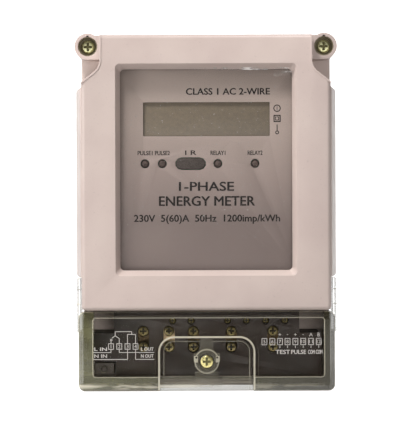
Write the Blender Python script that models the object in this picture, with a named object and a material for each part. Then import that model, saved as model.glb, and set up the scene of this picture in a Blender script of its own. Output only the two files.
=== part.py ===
"""Single-phase prepaid electricity meter for a wall, as an assembly of loose sub-parts.

Sizes are in millimetres. X is across the meter, +Y points into the wall and heights are measured from
the foot of the case. The origin is the middle of the rear wall face, so the meter's front is at -Y.
"""

import math

import bmesh
import bpy
from mathutils import Matrix, Vector

MM = 0.001
GAP = 0.3  # clearance between pieces that touch
SCREW_SIDES = 14

# Case
CASE_HEIGHT = 160.0
CASE_HALF_WIDTH = 57.0
CASE_WALL = 2.6
FACE_Y = -58.0
RIM_Y = -24.0  # where the base's rim meets the front cover
SPLIT_HEIGHT = 36.0  # electronics above, terminals below
MIDDLE = CASE_HEIGHT / 2

# Ears with the two case screws, and the corner reliefs round them
EAR_X = 53.5
EAR_HEIGHT = 155.4
EAR_RADIUS = 5.9
EAR_Y = -44.0
EAR_SEAT_Y = -38.0
EAR_WELL_RADIUS = 4.4
RELIEF_CENTRE = (53.0, 148.1)  # of the round between the upright and the slanting edge
RELIEF_RADIUS = 6.0
RELIEF_TURN = 52.0
RELIEF_Y = -30.0

# Window, nameplate and display
WINDOW_OUTER = (40.65, 51.8, 146.8)  # half width, low and high edge on the face
WINDOW_INNER = (38.6, 54.2, 144.4)
PANE_Y = -53.2
PLATE_Y = -50.9
FRAME_Y = -49.9
DISPLAY_HEIGHT = 122.1
LAMP_HEIGHT = 102.1
LAMP_X = {"pulse_lamp_1": -27.5, "pulse_lamp_2": -19.7, "relay_lamp_1": 5.3, "relay_lamp_2": 22.0}
INFRARED_X = -6.95
LAMP_HOLE_RADIUS = 2.05

# Board and what it carries on its rear face
BOARD_FRONT_Y = -41.6
BOARD_REAR_Y = -40.0
BOARD_POSTS = ((-45.0, 47.0), (-45.0, 130.0), (45.0, 47.0), (45.0, 130.0))

# Terminal block
BLOCK_HALF_WIDTH = 51.2
BLOCK_FOOT = 6.5
BLOCK_TOP = 35.7
BLOCK_FRONT_Y = -47.5
LUG_X = 46.6
LUG_HEIGHT = 31.4
LUG_FRONT_Y = -16.0
KNOCK_OUT_Y = -15.2  # a wall screw goes through the thin web in front of this

# Main terminals, left to right, with the sideways shift of each one's riser blade
MAIN_TERMINALS = ((-28.6, 0.0), (-17.0, -2.4), (-6.0, 2.8), (11.1, 2.3), (29.9, 0.9))
MAIN_SCREW_HEIGHTS = {"upper": 26.6, "lower": 19.4}
MAIN_CAGE = (4.5, 16.0, 29.2)  # half width, foot and top
MAIN_CAGE_Y = (-30.6, -42.0)
MAIN_BORE_HALF_WIDTH = 3.3
MAIN_BORE_Y = (-32.2, -40.4)
MAIN_HEAD_Y = -45.3  # rear of the screw heads when fully open
BLADE_Y = (-36.9, -38.1)

# Auxiliary terminals, left to right
AUX_X = (-15.4, -7.0, 9.5, 17.9, 26.7, 35.4)
AUX_HEIGHT = 31.3
AUX_CAGE_Y = (-20.4, -26.4)

# Terminal cover and its captive screw
COVER_HALF_WIDTH = 57.6
COVER_FACE_Y = -55.5
COVER_INNER_Y = -53.3
COVER_REAR_Y = -14.3
STEP_Y = -51.5
STEP_INNER_Y = -49.3
STEP_HALF_WIDTH = 21.0
STEP_TOP = 23.9
SEAL_SCREW_HEIGHT = 13.2

# Tamper switch and sliding hanger
TAMPER_X = -46.2
TAMPER_HEIGHT = 9.7
HANGER_FOOT = 126.0
HANGER_TOP = 157.5

FINISHES = {
    "case": ((0.71, 0.58, 0.52), 0.45, 0.0),
    "base": ((0.50, 0.44, 0.40), 0.5, 0.0),
    "rubber": ((0.03, 0.03, 0.03), 0.8, 0.0),
    "clear": ((0.78, 0.78, 0.72), 0.1, 0.0),
    "smoked": ((0.20, 0.19, 0.14), 0.15, 0.0),
    "nameplate": ((0.30, 0.26, 0.24), 0.35, 0.7),
    "dark_plastic": ((0.05, 0.04, 0.035), 0.5, 0.0),
    "display": ((0.20, 0.17, 0.13), 0.2, 0.0),
    "board": ((0.02, 0.14, 0.06), 0.5, 0.0),
    "relay": ((0.05, 0.06, 0.08), 0.5, 0.0),
    "steel": ((0.55, 0.55, 0.53), 0.35, 1.0),
    "brass": ((0.72, 0.53, 0.25), 0.3, 1.0),
    "copper": ((0.72, 0.38, 0.22), 0.35, 1.0),
    "lamp": ((0.10, 0.03, 0.02), 0.15, 0.0),
    "infrared": ((0.05, 0.02, 0.03), 0.1, 0.0),
    "block": ((0.035, 0.025, 0.018), 0.4, 0.0),
}


def point(x, y, height):
    """A place in metres from its place on the meter in millimetres."""
    return Vector((x, y, height - MIDDLE)) * MM


# Outlines are lists of (x, height), and a shape is a list of (outline, y) sections from back to front.


def rectangle(left, right, low, high, radius=0.0, steps=3):
    """A rectangle, with rounded corners if a radius is given."""
    if not radius:
        return [(left, low), (right, low), (right, high), (left, high)]
    corners = (
        (right - radius, low + radius, -90),
        (right - radius, high - radius, 0),
        (left + radius, high - radius, 90),
        (left + radius, low + radius, 180),
    )
    return [
        arc_point(x, height, radius, start + 90 * k / steps)
        for x, height, start in corners
        for k in range(steps + 1)
    ]


def arc_point(x, height, radius, degrees):
    angle = math.radians(degrees)
    return (x + radius * math.cos(angle), height + radius * math.sin(angle))


def circle(x, height, radius, sides=20):
    return [arc_point(x, height, radius, 360 * k / sides) for k in range(sides)]


def racetrack(x, low, high, radius, steps=6):
    """An upright slot with round ends, whose end centres are at low and high."""
    ends = ((low, 180), (high, 0))
    turns = [180 * k / steps for k in range(steps + 1)]
    return [arc_point(x, height, radius, start + turn) for height, start in ends for turn in turns]


def pill(x, height, half_length, radius, steps=5):
    """A level slot with round ends."""
    ends = ((x + half_length - radius, -90), (x - half_length + radius, 90))
    turns = [180 * k / steps for k in range(steps + 1)]
    return [arc_point(end, height, radius, start + turn) for end, start in ends for turn in turns]


def inset(outline, distance):
    """A convex outline moved inwards by a distance, or outwards if it is negative."""
    moved = []
    for before, here, after in zip(outline[-1:] + outline[:-1], outline, outline[1:] + outline[:1]):
        first = Vector(here) - Vector(before)
        second = Vector(after) - Vector(here)
        first.normalize()
        second.normalize()
        bisector = Vector((-first.y - second.y, first.x + second.x))
        moved.append(tuple(Vector(here) + bisector * distance / (1 + first.dot(second))))
    return moved


def prism(outline, back, front):
    return [(outline, back), (outline, front)]


def box(left, right, back, front, low, high):
    return prism(rectangle(left, right, low, high), back, front)


def rod(x, height, radius, back, front, sides=20):
    return prism(circle(x, height, radius, sides), back, front)


def object_from(name, bm, finish=None):
    """A new object from a closed bmesh, with its faces out and its finish."""
    bmesh.ops.recalc_face_normals(bm, faces=bm.faces)
    mesh = bpy.data.meshes.new(name)
    bm.to_mesh(mesh)
    bm.free()
    if finish:
        mesh.materials.append(material(finish))
        mesh.shade_smooth()
        mesh.set_sharp_from_angle(angle=math.radians(30))
    piece = bpy.data.objects.new(name, mesh)
    bpy.context.scene.collection.objects.link(piece)
    return piece


def material(finish):
    """The named finish, made on first use."""
    if finish in bpy.data.materials:
        return bpy.data.materials[finish]
    colour, roughness, metallic = FINISHES[finish]
    made = bpy.data.materials.new(finish)
    made.use_nodes = True
    shader = made.node_tree.nodes["Principled BSDF"]
    shader.inputs["Base Color"].default_value = (*colour, 1.0)
    shader.inputs["Roughness"].default_value = roughness
    shader.inputs["Metallic"].default_value = metallic
    made.diffuse_color = (*colour, 1.0)
    return made


def solid(name, finish, *shapes):
    """An object from shapes that stay clear of each other."""
    bm = bmesh.new()
    for sections in shapes:
        rings = [[bm.verts.new(point(x, y, height)) for x, height in outline] for outline, y in sections]
        bm.faces.new(rings[0])
        bm.faces.new(rings[-1])
        for back, front in zip(rings, rings[1:]):
            for k in range(len(back)):
                bm.faces.new((back[k - 1], back[k], front[k], front[k - 1]))
    return object_from(name, bm, finish)


def use_tool(target, operation, tool):
    """Adds a Boolean to the target, whose tool stays out of the model."""
    tool.hide_render = True
    tool.display_type = "WIRE"
    step = target.modifiers.new(operation.title(), "BOOLEAN")
    step.operation = operation
    step.object = tool
    return tool


def cut(target, *shapes):
    """Cuts shapes that stay clear of each other out of the target, and returns the cutter."""
    name = f"{target.name}_cutter_{len(target.modifiers)}"
    return use_tool(target, "DIFFERENCE", solid(name, None, *shapes))


def join(target, *shapes):
    """Joins shapes that stay clear of each other to the target."""
    name = f"{target.name}_joined_{len(target.modifiers)}"
    return use_tool(target, "UNION", solid(name, None, *shapes))


def barrel(name, finish, left, right, y, height, radius, sides=24):
    """A round piece lying along X."""
    bm = bmesh.new()
    turned = Matrix.Rotation(math.pi / 2, 4, "Y")
    place = Matrix.Translation(point((left + right) / 2, y, height)) @ turned
    bmesh.ops.create_cone(
        bm,
        cap_ends=True,
        segments=sides,
        radius1=radius * MM,
        radius2=radius * MM,
        depth=(right - left) * MM,
        matrix=place,
    )
    return object_from(name, bm, finish)


def mirrored(shape):
    """The shape on the other side of the meter."""
    return [([(-x, height) for x, height in reversed(outline)], y) for outline, y in shape]


def both_sides(shape):
    return shape, mirrored(shape)


def put_origin(piece, x, y, height):
    """Moves a piece's origin to a place on its joint's axis, and leaves the piece where it is."""
    place = point(x, y, height)
    piece.data.transform(Matrix.Translation(-place))
    piece.location = place


def clear_scene():
    for old in list(bpy.data.objects):
        bpy.data.objects.remove(old)


# Case shells


def sealing_line():
    """The gasket's centre line: a rectangle whose top corners pass inside the case screws."""
    side = CASE_HALF_WIDTH - 1.5
    low = SPLIT_HEIGHT + 1.5
    high = CASE_HEIGHT - 1.6
    return [(-side, low), (side, low), (side, 141.0), (41.0, high), (-41.0, high), (-side, 141.0)]


def make_base():
    """The rear tray: electronics bay, terminal bay, board posts, lugs and the hanger's guide."""
    half = CASE_HALF_WIDTH
    base = solid("base", "base", prism(rectangle(-half, half, SPLIT_HEIGHT, CASE_HEIGHT, 2.0), 0.0, RIM_Y))
    join(base, prism(rectangle(-half, half, 0.0, SPLIT_HEIGHT + 3.0, 2.0), 0.0, COVER_REAR_Y + GAP))
    join(base, *both_sides(rod(EAR_X, EAR_HEIGHT, EAR_RADIUS, 0.0, RIM_Y, 28)))
    cut(base, prism(inset(sealing_line(), 1.5), -CASE_WALL, -30.0))
    inner = half - CASE_WALL
    cut(base, box(-inner, inner, -CASE_WALL, -20.0, CASE_WALL, SPLIT_HEIGHT))
    ring = gasket_ring("base_gasket_groove", None, 0.7, RIM_Y + 1.3, RIM_Y - 1.0)
    groove = use_tool(base, "DIFFERENCE", ring)
    groove.parent = base
    join(base, *[rod(x, h, 3.2, -2.0, BOARD_REAR_Y + GAP, 16) for x, h in BOARD_POSTS])
    join(base, *both_sides(rod(LUG_X, LUG_HEIGHT, 3.7, -2.0, LUG_FRONT_Y)))
    join(base, box(-14.0, 14.0, -2.0, -5.4, HANGER_FOOT - 4.0, 158.0))
    holes = both_sides(rod(LUG_X, LUG_HEIGHT, 2.5, 1.0, KNOCK_OUT_Y, 16))
    pilots = both_sides(rod(EAR_X, EAR_HEIGHT, 1.9, -9.0, -25.0, 14))
    cut(base, *holes, *pilots)
    cut(base, box(-8.3, 8.3, 1.0, -2.7, HANGER_FOOT - GAP, 165.0))
    cut(base, box(-10.8, 10.8, -1.0, -2.7, HANGER_FOOT - GAP, 165.0))
    return base


def gasket_ring(name, finish, half_thickness, back, front):
    """A closed ring of even thickness along the sealing line."""
    bm = bmesh.new()
    loops = [
        [bm.verts.new(point(x, y, height)) for x, height in inset(sealing_line(), distance)]
        for distance, y in (
            (-half_thickness, back),
            (-half_thickness, front),
            (half_thickness, front),
            (half_thickness, back),
        )
    ]
    for first, second in zip(loops, loops[1:] + loops[:1]):
        for k in range(len(first)):
            bm.faces.new((first[k - 1], first[k], second[k], second[k - 1]))
    return object_from(name, bm, finish)


def relief(wall, back):
    """A corner relief as a shape, grown inwards by a wall: upright, round, then slanting out."""
    x, height = RELIEF_CENTRE
    radius = RELIEF_RADIUS + wall
    arc = [arc_point(x, height, radius, 180 + RELIEF_TURN * k / 5) for k in range(6)]
    end_x, end_height = arc[-1]
    low = end_height - (70.0 - end_x) / math.tan(math.radians(RELIEF_TURN))
    return prism([*arc, (70.0, low), (70.0, 175.0), (x - radius, 175.0)], back, -60.0)


def side_pad():
    """The thicker, tapered stretch of a side wall."""

    def section(reach):
        slope = (reach - 55.0) * 0.45
        foot, top = 50.7, 137.0
        ends = [(reach - slope, foot), (reach, foot + slope), (reach, top - slope), (reach - slope, top)]
        return [(54.5, foot), *ends, (54.5, top)]

    return [(section(59.7), RIM_Y - GAP), (section(56.2), -56.4)]


def make_front_cover():
    """The front shell, with its window, corner reliefs, screw ears and side pads."""

    def face_outline(side, foot, top, radius):
        return rectangle(-side, side, SPLIT_HEIGHT + foot, CASE_HEIGHT - top, radius)

    rim = RIM_Y - GAP
    half = CASE_HALF_WIDTH
    body = [
        (face_outline(half, 0.0, 0.0, 2.0), rim),
        (face_outline(half - 1.05, 0.1, 0.25, 2.0), -56.3),
        (face_outline(half - 1.4, 0.4, 0.6, 2.0), -57.4),
        (face_outline(half - 2.4, 1.3, 1.5, 2.0), FACE_Y),
    ]
    cover = solid("front_cover", "case", body)
    cut(cover, *both_sides(relief(0.0, RELIEF_Y)))
    join(cover, *both_sides(rod(EAR_X, EAR_HEIGHT, EAR_RADIUS, rim, EAR_Y, 28)))
    join(cover, *both_sides(box(45.5, EAR_X, rim, EAR_Y, 149.5, 160.4)))
    join(cover, *both_sides(side_pad()))
    inside = [(rectangle(-54.5, 54.5, 38.4, 157.5), -20.0), (rectangle(-53.4, 53.4, 38.4, 157.1), -55.4)]
    cavity = cut(cover, inside)
    cut(cavity, *both_sides(relief(2.4, 0.0)))
    join(cover, box(-43.5, 43.5, -53.5, -55.8, 49.2, 149.4))
    (outer_side, outer_low, outer_high), (side, low, high) = WINDOW_OUTER, WINDOW_INNER
    opening = rectangle(-outer_side, outer_side, outer_low, outer_high, 2.2)
    throat = rectangle(-side, side, low, high, 1.2)
    cut(cover, [(throat, -50.0), (throat, -54.2), (opening, FACE_Y), (opening, -60.0)])
    cut(cover, *both_sides(rod(EAR_X, EAR_HEIGHT, EAR_WELL_RADIUS, EAR_SEAT_Y, -46.0, 24)))
    cut(cover, *both_sides(rod(EAR_X, EAR_HEIGHT, 1.9, -20.0, -39.0, 14)))
    blades = [x + shift for x, shift in MAIN_TERMINALS]
    cut(cover, *[box(x - 2.0, x + 2.0, -20.0, -39.5, 34.0, 40.0) for x in blades])
    return cover


# Window, nameplate and display


def make_window():
    side, low, high = WINDOW_INNER
    outline = rectangle(-side - 3.4, side + 3.4, low - 3.4, high + 3.4, 1.5)
    solid("window_pane", "clear", prism(outline, PANE_Y + 1.5, PANE_Y))


def lamp_holes(front, back):
    holes = [rod(x, LAMP_HEIGHT, LAMP_HOLE_RADIUS, back, front, 16) for x in LAMP_X.values()]
    return [*holes, prism(pill(INFRARED_X, LAMP_HEIGHT, 6.95, 2.85), back, front)]


def make_display():
    """The nameplate, the frame behind it, and the display, lamps and infrared filter that show through it."""
    outline = rectangle(-40.4, 40.4, 52.4, 146.2, 1.5)
    plate = solid("nameplate", "nameplate", prism(outline, PLATE_Y + 0.7, PLATE_Y))
    window = prism(rectangle(-28.3, 28.7, DISPLAY_HEIGHT - 7.65, DISPLAY_HEIGHT + 7.65, 0.4), -48.0, -53.0)
    cut(plate, window, *lamp_holes(-53.0, -48.0))

    outline = rectangle(-41.0, 41.0, 53.0, 145.4, 1.5)
    frame = solid("face_frame", "dark_plastic", prism(outline, FRAME_Y + 1.9, FRAME_Y))
    legs = [(x, height) for x in (-37.0, 37.0) for height in (60.0, 130.0)]
    join(frame, *[rod(x, height, 2.2, BOARD_FRONT_Y - GAP, FRAME_Y + 0.5, 12) for x, height in legs])
    low, high = DISPLAY_HEIGHT - 9.4, DISPLAY_HEIGHT + 9.4
    cut(frame, box(-30.4, 30.4, -45.0, -53.0, low - GAP, high + GAP), *lamp_holes(-53.0, -45.0))

    solid("lcd_panel", "display", box(-30.1, 30.1, -47.3, FRAME_Y, low, high))
    solid("infrared_filter", "infrared", prism(pill(INFRARED_X, LAMP_HEIGHT, 6.6, 2.5), -46.0, -51.1))
    dome = ((1.7, BOARD_FRONT_Y - GAP), (1.7, -49.8), (1.3, -50.6), (0.6, -51.0))
    for name, x in LAMP_X.items():
        solid(name, "lamp", [(circle(x, LAMP_HEIGHT, radius, 14), y) for radius, y in dome])


def make_board():
    """The circuit board and the heavy parts on its rear face."""
    outline = rectangle(-49.0, 49.0, 42.5, 134.5, 2.0)
    board = solid("main_board", "board", prism(outline, BOARD_REAR_Y, BOARD_FRONT_Y))
    cut(board, *[rod(x, h, 1.6, -38.0, -43.0, 10) for x, h in BOARD_POSTS])
    seat = BOARD_REAR_Y + GAP
    for name, left in (("relay_1", -41.0), ("relay_2", 3.0)):
        outline = rectangle(left, left + 38.0, 47.0, 77.0, 1.0, 2)
        relay = solid(name, "relay", prism(outline, seat + 17.0, seat))
        join(relay, *[box(left + x, left + x + 6.0, -30.0, -31.2, 42.0, 48.0) for x in (5.0, 27.0)])
    transformer = solid("power_transformer", "steel", box(-40.0, -8.0, -16.0, -36.0, 102.0, 122.0))
    join(transformer, box(-35.0, -13.0, -19.0, seat, 97.0, 127.0))
    solid("filter_capacitor", "relay", rod(30.0, 93.0, 6.0, seat + 20.0, seat, 20))
    barrel("backup_battery", "case", 8.0, 33.0, seat + 7.3, 118.0, 7.2)
    shunt = solid("current_shunt", "copper", box(-34.0, 16.0, -36.5, -38.5, 83.0, 91.0))
    join(shunt, box(-34.0, -28.0, -30.0, -38.0, 83.5, 90.5), box(10.0, 16.0, -30.0, -38.0, 83.5, 90.5))


def make_gasket():
    gasket_ring("case_gasket", "rubber", 0.4, RIM_Y + 1.0, RIM_Y)


def make_hanger():
    """The steel tab that slides up out of the back, with its keyhole."""
    hanger = solid("hanger", "steel", box(-10.5, 10.5, -1.3, -2.4, HANGER_FOOT, HANGER_TOP))
    join(hanger, box(-8.0, 8.0, -GAP, -2.4, HANGER_FOOT, HANGER_TOP))
    cut(hanger, rod(0.0, 151.5, 2.6, 1.0, -4.0, 16))
    put_origin(hanger, 0.0, -1.3, 151.5)


# Screws


def screw_mesh(name, finish, head, shank):
    """One screw's mesh, seated at the origin with its tip at +Y: head and shank are (radius, length)."""
    bm = bmesh.new()
    (head_radius, head_length), (shank_radius, shank_length) = head, shank
    profile = (
        (0.0, -head_length),
        (head_radius * 0.8, -head_length),
        (head_radius, -head_length * 0.7),
        (head_radius, 0.0),
        (shank_radius, 0.0),
        (shank_radius, shank_length - shank_radius * 0.4),
        (shank_radius * 0.6, shank_length),
        (0.0, shank_length),
    )
    points = [bm.verts.new(Vector((radius, y, 0.0)) * MM) for radius, y in profile]
    edges = [bm.edges.new(pair) for pair in zip(points, points[1:])]
    bmesh.ops.spin(bm, geom=points + edges, cent=(0, 0, 0), axis=(0, 1, 0), angle=math.tau, steps=SCREW_SIDES)
    bmesh.ops.remove_doubles(bm, verts=bm.verts, dist=1e-6)
    body = object_from(name, bm, finish)
    for across, up in ((0.62, 0.14), (0.14, 0.62)):
        recess = bmesh.new()
        size = Vector((across * head_radius, head_length * 0.6, up * head_radius)) * 2 * MM
        place = Matrix.LocRotScale(Vector((0, -head_length, 0)) * MM, None, size)
        bmesh.ops.create_cube(recess, size=1.0, matrix=place)
        use_tool(body, "DIFFERENCE", object_from(f"{name}_recess_{across}", recess))
    bpy.context.view_layer.update()
    finished = bpy.data.meshes.new_from_object(body.evaluated_get(bpy.context.evaluated_depsgraph_get()))
    finished.name = name
    for used in [body, *(step.object for step in body.modifiers)]:
        bpy.data.objects.remove(used)
    return finished


def place_mesh(name, mesh, x, y, height):
    piece = bpy.data.objects.new(name, mesh)
    piece.location = point(x, y, height)
    bpy.context.scene.collection.objects.link(piece)
    return piece


def make_case_screws():
    mesh = screw_mesh("case_screw", "brass", (3.05, 2.3), (1.6, 27.0))
    for name, x in (("case_screw_left", -EAR_X), ("case_screw_right", EAR_X)):
        place_mesh(name, mesh, x, EAR_SEAT_Y - GAP, EAR_HEIGHT)


# Terminals


def make_block():
    """The moulded terminal block, with a chamber, a screw slot and a wire channel for each terminal."""
    half = BLOCK_HALF_WIDTH
    body = box(-half, half, -CASE_WALL - GAP, BLOCK_FRONT_Y, BLOCK_FOOT, BLOCK_TOP)
    block = solid("terminal_block", "block", body)
    cut(block, *both_sides(box(LUG_X - 4.8, 55.0, 0.0, -50.0, LUG_HEIGHT - 4.0, 40.0)))
    cut(block, box(-55.0, -41.0, -33.0, -50.0, 0.0, 13.0))
    cage_half, foot, top = MAIN_CAGE
    back, front = MAIN_CAGE_Y
    mains = [x for x, _ in MAIN_TERMINALS]
    room = cage_half + GAP
    cut(block, *[box(x - room, x + room, back + GAP, front - GAP, foot - GAP, top + GAP) for x in mains])
    low, high = sorted(MAIN_SCREW_HEIGHTS.values())
    cut(block, *[prism(racetrack(x, low, high, 2.6), front + 1.0, -50.0) for x in mains])
    bore = MAIN_BORE_HALF_WIDTH
    cut(block, *[box(x - bore, x + bore, MAIN_BORE_Y[0], MAIN_BORE_Y[1], 0.0, foot) for x in mains])
    slots = [x + shift for x, shift in MAIN_TERMINALS]
    cut(block, *[box(x - 1.9, x + 1.9, BLADE_Y[0] + GAP, BLADE_Y[1] - GAP, top, 40.0) for x in slots])
    cut(block, *[rod(x, AUX_HEIGHT, 1.75, -43.7, -50.0, 14) for x in AUX_X])
    cut(block, *[rod(x, AUX_HEIGHT, 1.3, -25.0, -44.0, 12) for x in AUX_X])
    cut(block, *[box(x - 2.7, x + 2.7, -17.9, -28.7, 28.1, 34.5) for x in AUX_X])
    cut(block, *[box(x - 1.9, x + 1.9, -21.2, -25.4, 0.0, 29.0) for x in AUX_X])
    cut(block, rod(0.0, SEAL_SCREW_HEIGHT, 1.9, -41.5, -50.0, 14))
    return block


def make_main_terminals():
    """Five brass cages, each with a pressure plate and two clamping screws that push it."""
    half, foot, top = MAIN_CAGE
    bore = MAIN_BORE_HALF_WIDTH
    back, front = MAIN_CAGE_Y
    tip = MAIN_BORE_Y[1] - MAIN_HEAD_Y
    screw = screw_mesh("clamp_screw", "brass", (2.3, 2.0), (1.5, tip))
    plate_y = MAIN_BORE_Y[1] + GAP
    for number, (x, shift) in enumerate(MAIN_TERMINALS, start=1):
        cage = solid(f"main_cage_{number}", "brass", box(x - half, x + half, back, front, foot, top))
        cut(cage, box(x - bore, x + bore, *MAIN_BORE_Y, foot - 1.0, top - 0.8))
        cut(cage, *[rod(x, height, 1.8, -40.0, -43.0, 16) for height in MAIN_SCREW_HEIGHTS.values()])
        blade = x + shift
        join(cage, box(blade - 1.6, blade + 1.6, *BLADE_Y, top - 0.6, 44.0))
        bar = box(x - 3.0, x + 3.0, plate_y + 1.1, plate_y, foot + GAP, top - 1.5)
        plate = solid(f"clamp_plate_{number}", "steel", bar)
        put_origin(plate, x, plate_y, (foot + top) / 2)
        for position, height in MAIN_SCREW_HEIGHTS.items():
            place_mesh(f"{position}_screw_{number}", screw, x, MAIN_HEAD_Y, height)


def make_aux_terminals():
    """Six small rising cages, each drawn forward by a long captive screw."""
    back, front = AUX_CAGE_Y
    seat = -44.0
    screw = screw_mesh("aux_clamp_screw", "brass", (1.5, 1.5), (1.0, -seat - 24.6))
    for number, x in enumerate(AUX_X, start=1):
        cage = solid(f"aux_cage_{number}", "brass", box(x - 2.3, x + 2.3, back, front, 28.5, 34.1))
        cut(cage, box(x - 1.5, x + 1.5, back - 1.2, front + 1.4, 28.0, 33.2))
        cut(cage, rod(x, AUX_HEIGHT, 1.3, front + 2.0, front - 1.0, 12))
        put_origin(cage, x, front, AUX_HEIGHT)
        place_mesh(f"aux_screw_{number}", screw, x, seat, AUX_HEIGHT)


# Terminal cover


def make_terminal_cover():
    """The clear cover over the terminals, with its stepped middle, screw boss, bottom lip and side arms."""
    side, top = COVER_HALF_WIDTH, SPLIT_HEIGHT - GAP

    def outline(inwards):
        return rectangle(-side + inwards, side - inwards, inwards, top - inwards * 0.6, 3.0, 4)

    straight = [(outline(0.0), COVER_REAR_Y), (outline(0.0), -54.2)]
    rounded = [(outline(0.5), -55.1), (outline(1.3), COVER_FACE_Y)]
    cover = solid("terminal_cover", "smoked", straight + rounded)
    inner = side - 2.2
    cut(cover, box(-inner, inner, -10.0, COVER_INNER_Y, 2.4, top - 2.2))
    cut(cover, box(-inner, inner, -10.0, BLOCK_FRONT_Y - GAP, top - 3.0, top + 1.0))
    cut(cover, box(-inner, inner, -10.0, -47.0, -1.0, 3.0))
    wall = 2.2
    reach = STEP_HALF_WIDTH + wall
    join(cover, prism(rectangle(-reach, reach, 0.0, STEP_TOP + wall), STEP_INNER_Y, -53.8))
    step = [arc_point(STEP_HALF_WIDTH - 6.3, STEP_TOP - 6.3, 6.3, 18 * k) for k in range(6)]
    step += [(-x, height) for x, height in reversed(step)]
    cut(cover, prism([(STEP_HALF_WIDTH, -2.0), *step, (-STEP_HALF_WIDTH, -2.0)], STEP_Y, -60.0))
    join(cover, rod(0.0, SEAL_SCREW_HEIGHT, 5.4, STEP_Y + 1.0, -54.5, 28))
    join(cover, box(-3.2, 3.2, STEP_Y + 1.0, -53.9, SEAL_SCREW_HEIGHT, STEP_TOP + 1.0))
    join(cover, *both_sides(box(3.5, 5.9, STEP_Y + 1.0, -54.2, 13.2, 16.6)))
    join(cover, box(-5.2, 5.2, STEP_Y + 1.0, -53.2, 2.5, 8.4))
    cut(cover, rod(0.0, SEAL_SCREW_HEIGHT, 3.4, STEP_Y, -60.0, 20))
    holes = both_sides(rod(4.7, 15.0, 0.5, -45.0, -60.0, 8))
    cut(cover, rod(0.0, SEAL_SCREW_HEIGHT, 1.9, -45.0, -60.0, 14), *holes)
    join(cover, rod(TAMPER_X, TAMPER_HEIGHT, 1.5, -49.9, COVER_INNER_Y - 0.5, 12))
    join(cover, *both_sides(prism(rectangle(57.3, 59.1, 26.0, 50.3), -20.0, -42.0)))
    for name, left, right in (("left", -62.0, -55.0), ("right", 55.0, 62.0)):
        notch = barrel(f"terminal_cover_notch_{name}", None, left, right, -42.0, 42.0, 3.6, 16)
        use_tool(cover, "DIFFERENCE", notch)
    put_origin(cover, 0.0, STEP_Y, SEAL_SCREW_HEIGHT)
    return cover


def make_seal_screw():
    """The captive cover screw and the retaining washer that holds it in the boss."""
    disc = rod(0.0, SEAL_SCREW_HEIGHT, 3.0, STEP_Y - GAP, STEP_Y - GAP - 0.5, 20)
    washer = solid("cover_screw_washer", "steel", disc)
    cut(washer, rod(0.0, SEAL_SCREW_HEIGHT, 1.9, -50.0, -54.0, 14))
    put_origin(washer, 0.0, STEP_Y - GAP, SEAL_SCREW_HEIGHT)
    seat = STEP_Y - GAP - 0.5 - GAP
    mesh = screw_mesh("seal_screw", "brass", (2.95, 2.0), (1.6, 8.6))
    place_mesh("cover_screw", mesh, 0.0, seat, SEAL_SCREW_HEIGHT)


def make_tamper_switch():
    body = solid("tamper_switch", "dark_plastic", box(-50.4, -42.0, -34.0, -46.4, 7.2, 12.2))
    cut(body, rod(TAMPER_X, TAMPER_HEIGHT, 1.4, -42.5, -48.0, 12))
    plunger = solid("tamper_plunger", "case", rod(TAMPER_X, TAMPER_HEIGHT, 1.1, -43.0, -49.6, 12))
    put_origin(plunger, TAMPER_X, -46.4, TAMPER_HEIGHT)


clear_scene()
make_base()
make_front_cover()
make_gasket()
make_window()
make_display()
make_board()
make_hanger()
make_case_screws()
make_block()
make_main_terminals()
make_aux_terminals()
make_terminal_cover()
make_seal_screw()
make_tamper_switch()
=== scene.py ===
"""Visual model of a wall-mounted prepaid electricity meter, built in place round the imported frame.

Every size below is in millimetres in the frame's own axes: X across the meter, +Y into the wall, Z up, with
the origin at the middle of the rear wall face. Bench turns them into metres as it models.
"""

import logging
import math
from dataclasses import dataclass, field
from enum import Enum
from typing import Callable, Sequence

import bmesh
import bpy
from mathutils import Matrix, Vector


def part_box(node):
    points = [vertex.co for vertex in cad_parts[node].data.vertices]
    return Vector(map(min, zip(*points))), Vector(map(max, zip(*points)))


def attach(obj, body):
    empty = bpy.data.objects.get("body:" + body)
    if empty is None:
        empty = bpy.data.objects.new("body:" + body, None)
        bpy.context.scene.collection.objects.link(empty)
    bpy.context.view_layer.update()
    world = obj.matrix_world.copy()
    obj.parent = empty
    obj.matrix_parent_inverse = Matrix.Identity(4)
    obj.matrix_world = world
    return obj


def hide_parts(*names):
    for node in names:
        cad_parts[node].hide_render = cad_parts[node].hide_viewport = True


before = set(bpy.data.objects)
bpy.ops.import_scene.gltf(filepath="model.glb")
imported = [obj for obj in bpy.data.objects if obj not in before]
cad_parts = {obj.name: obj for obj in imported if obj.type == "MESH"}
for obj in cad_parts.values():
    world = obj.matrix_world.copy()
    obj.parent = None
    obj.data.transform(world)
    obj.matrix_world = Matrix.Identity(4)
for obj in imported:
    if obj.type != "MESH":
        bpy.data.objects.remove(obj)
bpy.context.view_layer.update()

MM = 0.001

log = logging.getLogger("meter")

Colour = tuple[float, float, float]
Place = tuple[float, float, float]
Piece = bpy.types.Object
Socket = bpy.types.NodeSocket


class Axis(Enum):
    """The frame's axes, by index."""

    X = 0
    Y = 1
    Z = 2


class Slot(Enum):
    """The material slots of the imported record."""

    CASE = "case_plastic"
    BASE = "base_plastic"
    CLEAR = "clear_plastic"
    SMOKED = "smoked_plastic"
    NAMEPLATE = "nameplate_silver"
    DARK = "dark_plastic"
    DISPLAY = "display_glass"
    BOARD = "board_laminate"
    RELAY = "relay_plastic"
    STEEL = "steel"
    BRASS = "brass"
    COPPER = "copper"
    LAMP = "lamp_lens"
    INFRARED = "infrared_lens"
    BLOCK = "block_plastic"
    SLEEVE = "cell_sleeve"


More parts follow.
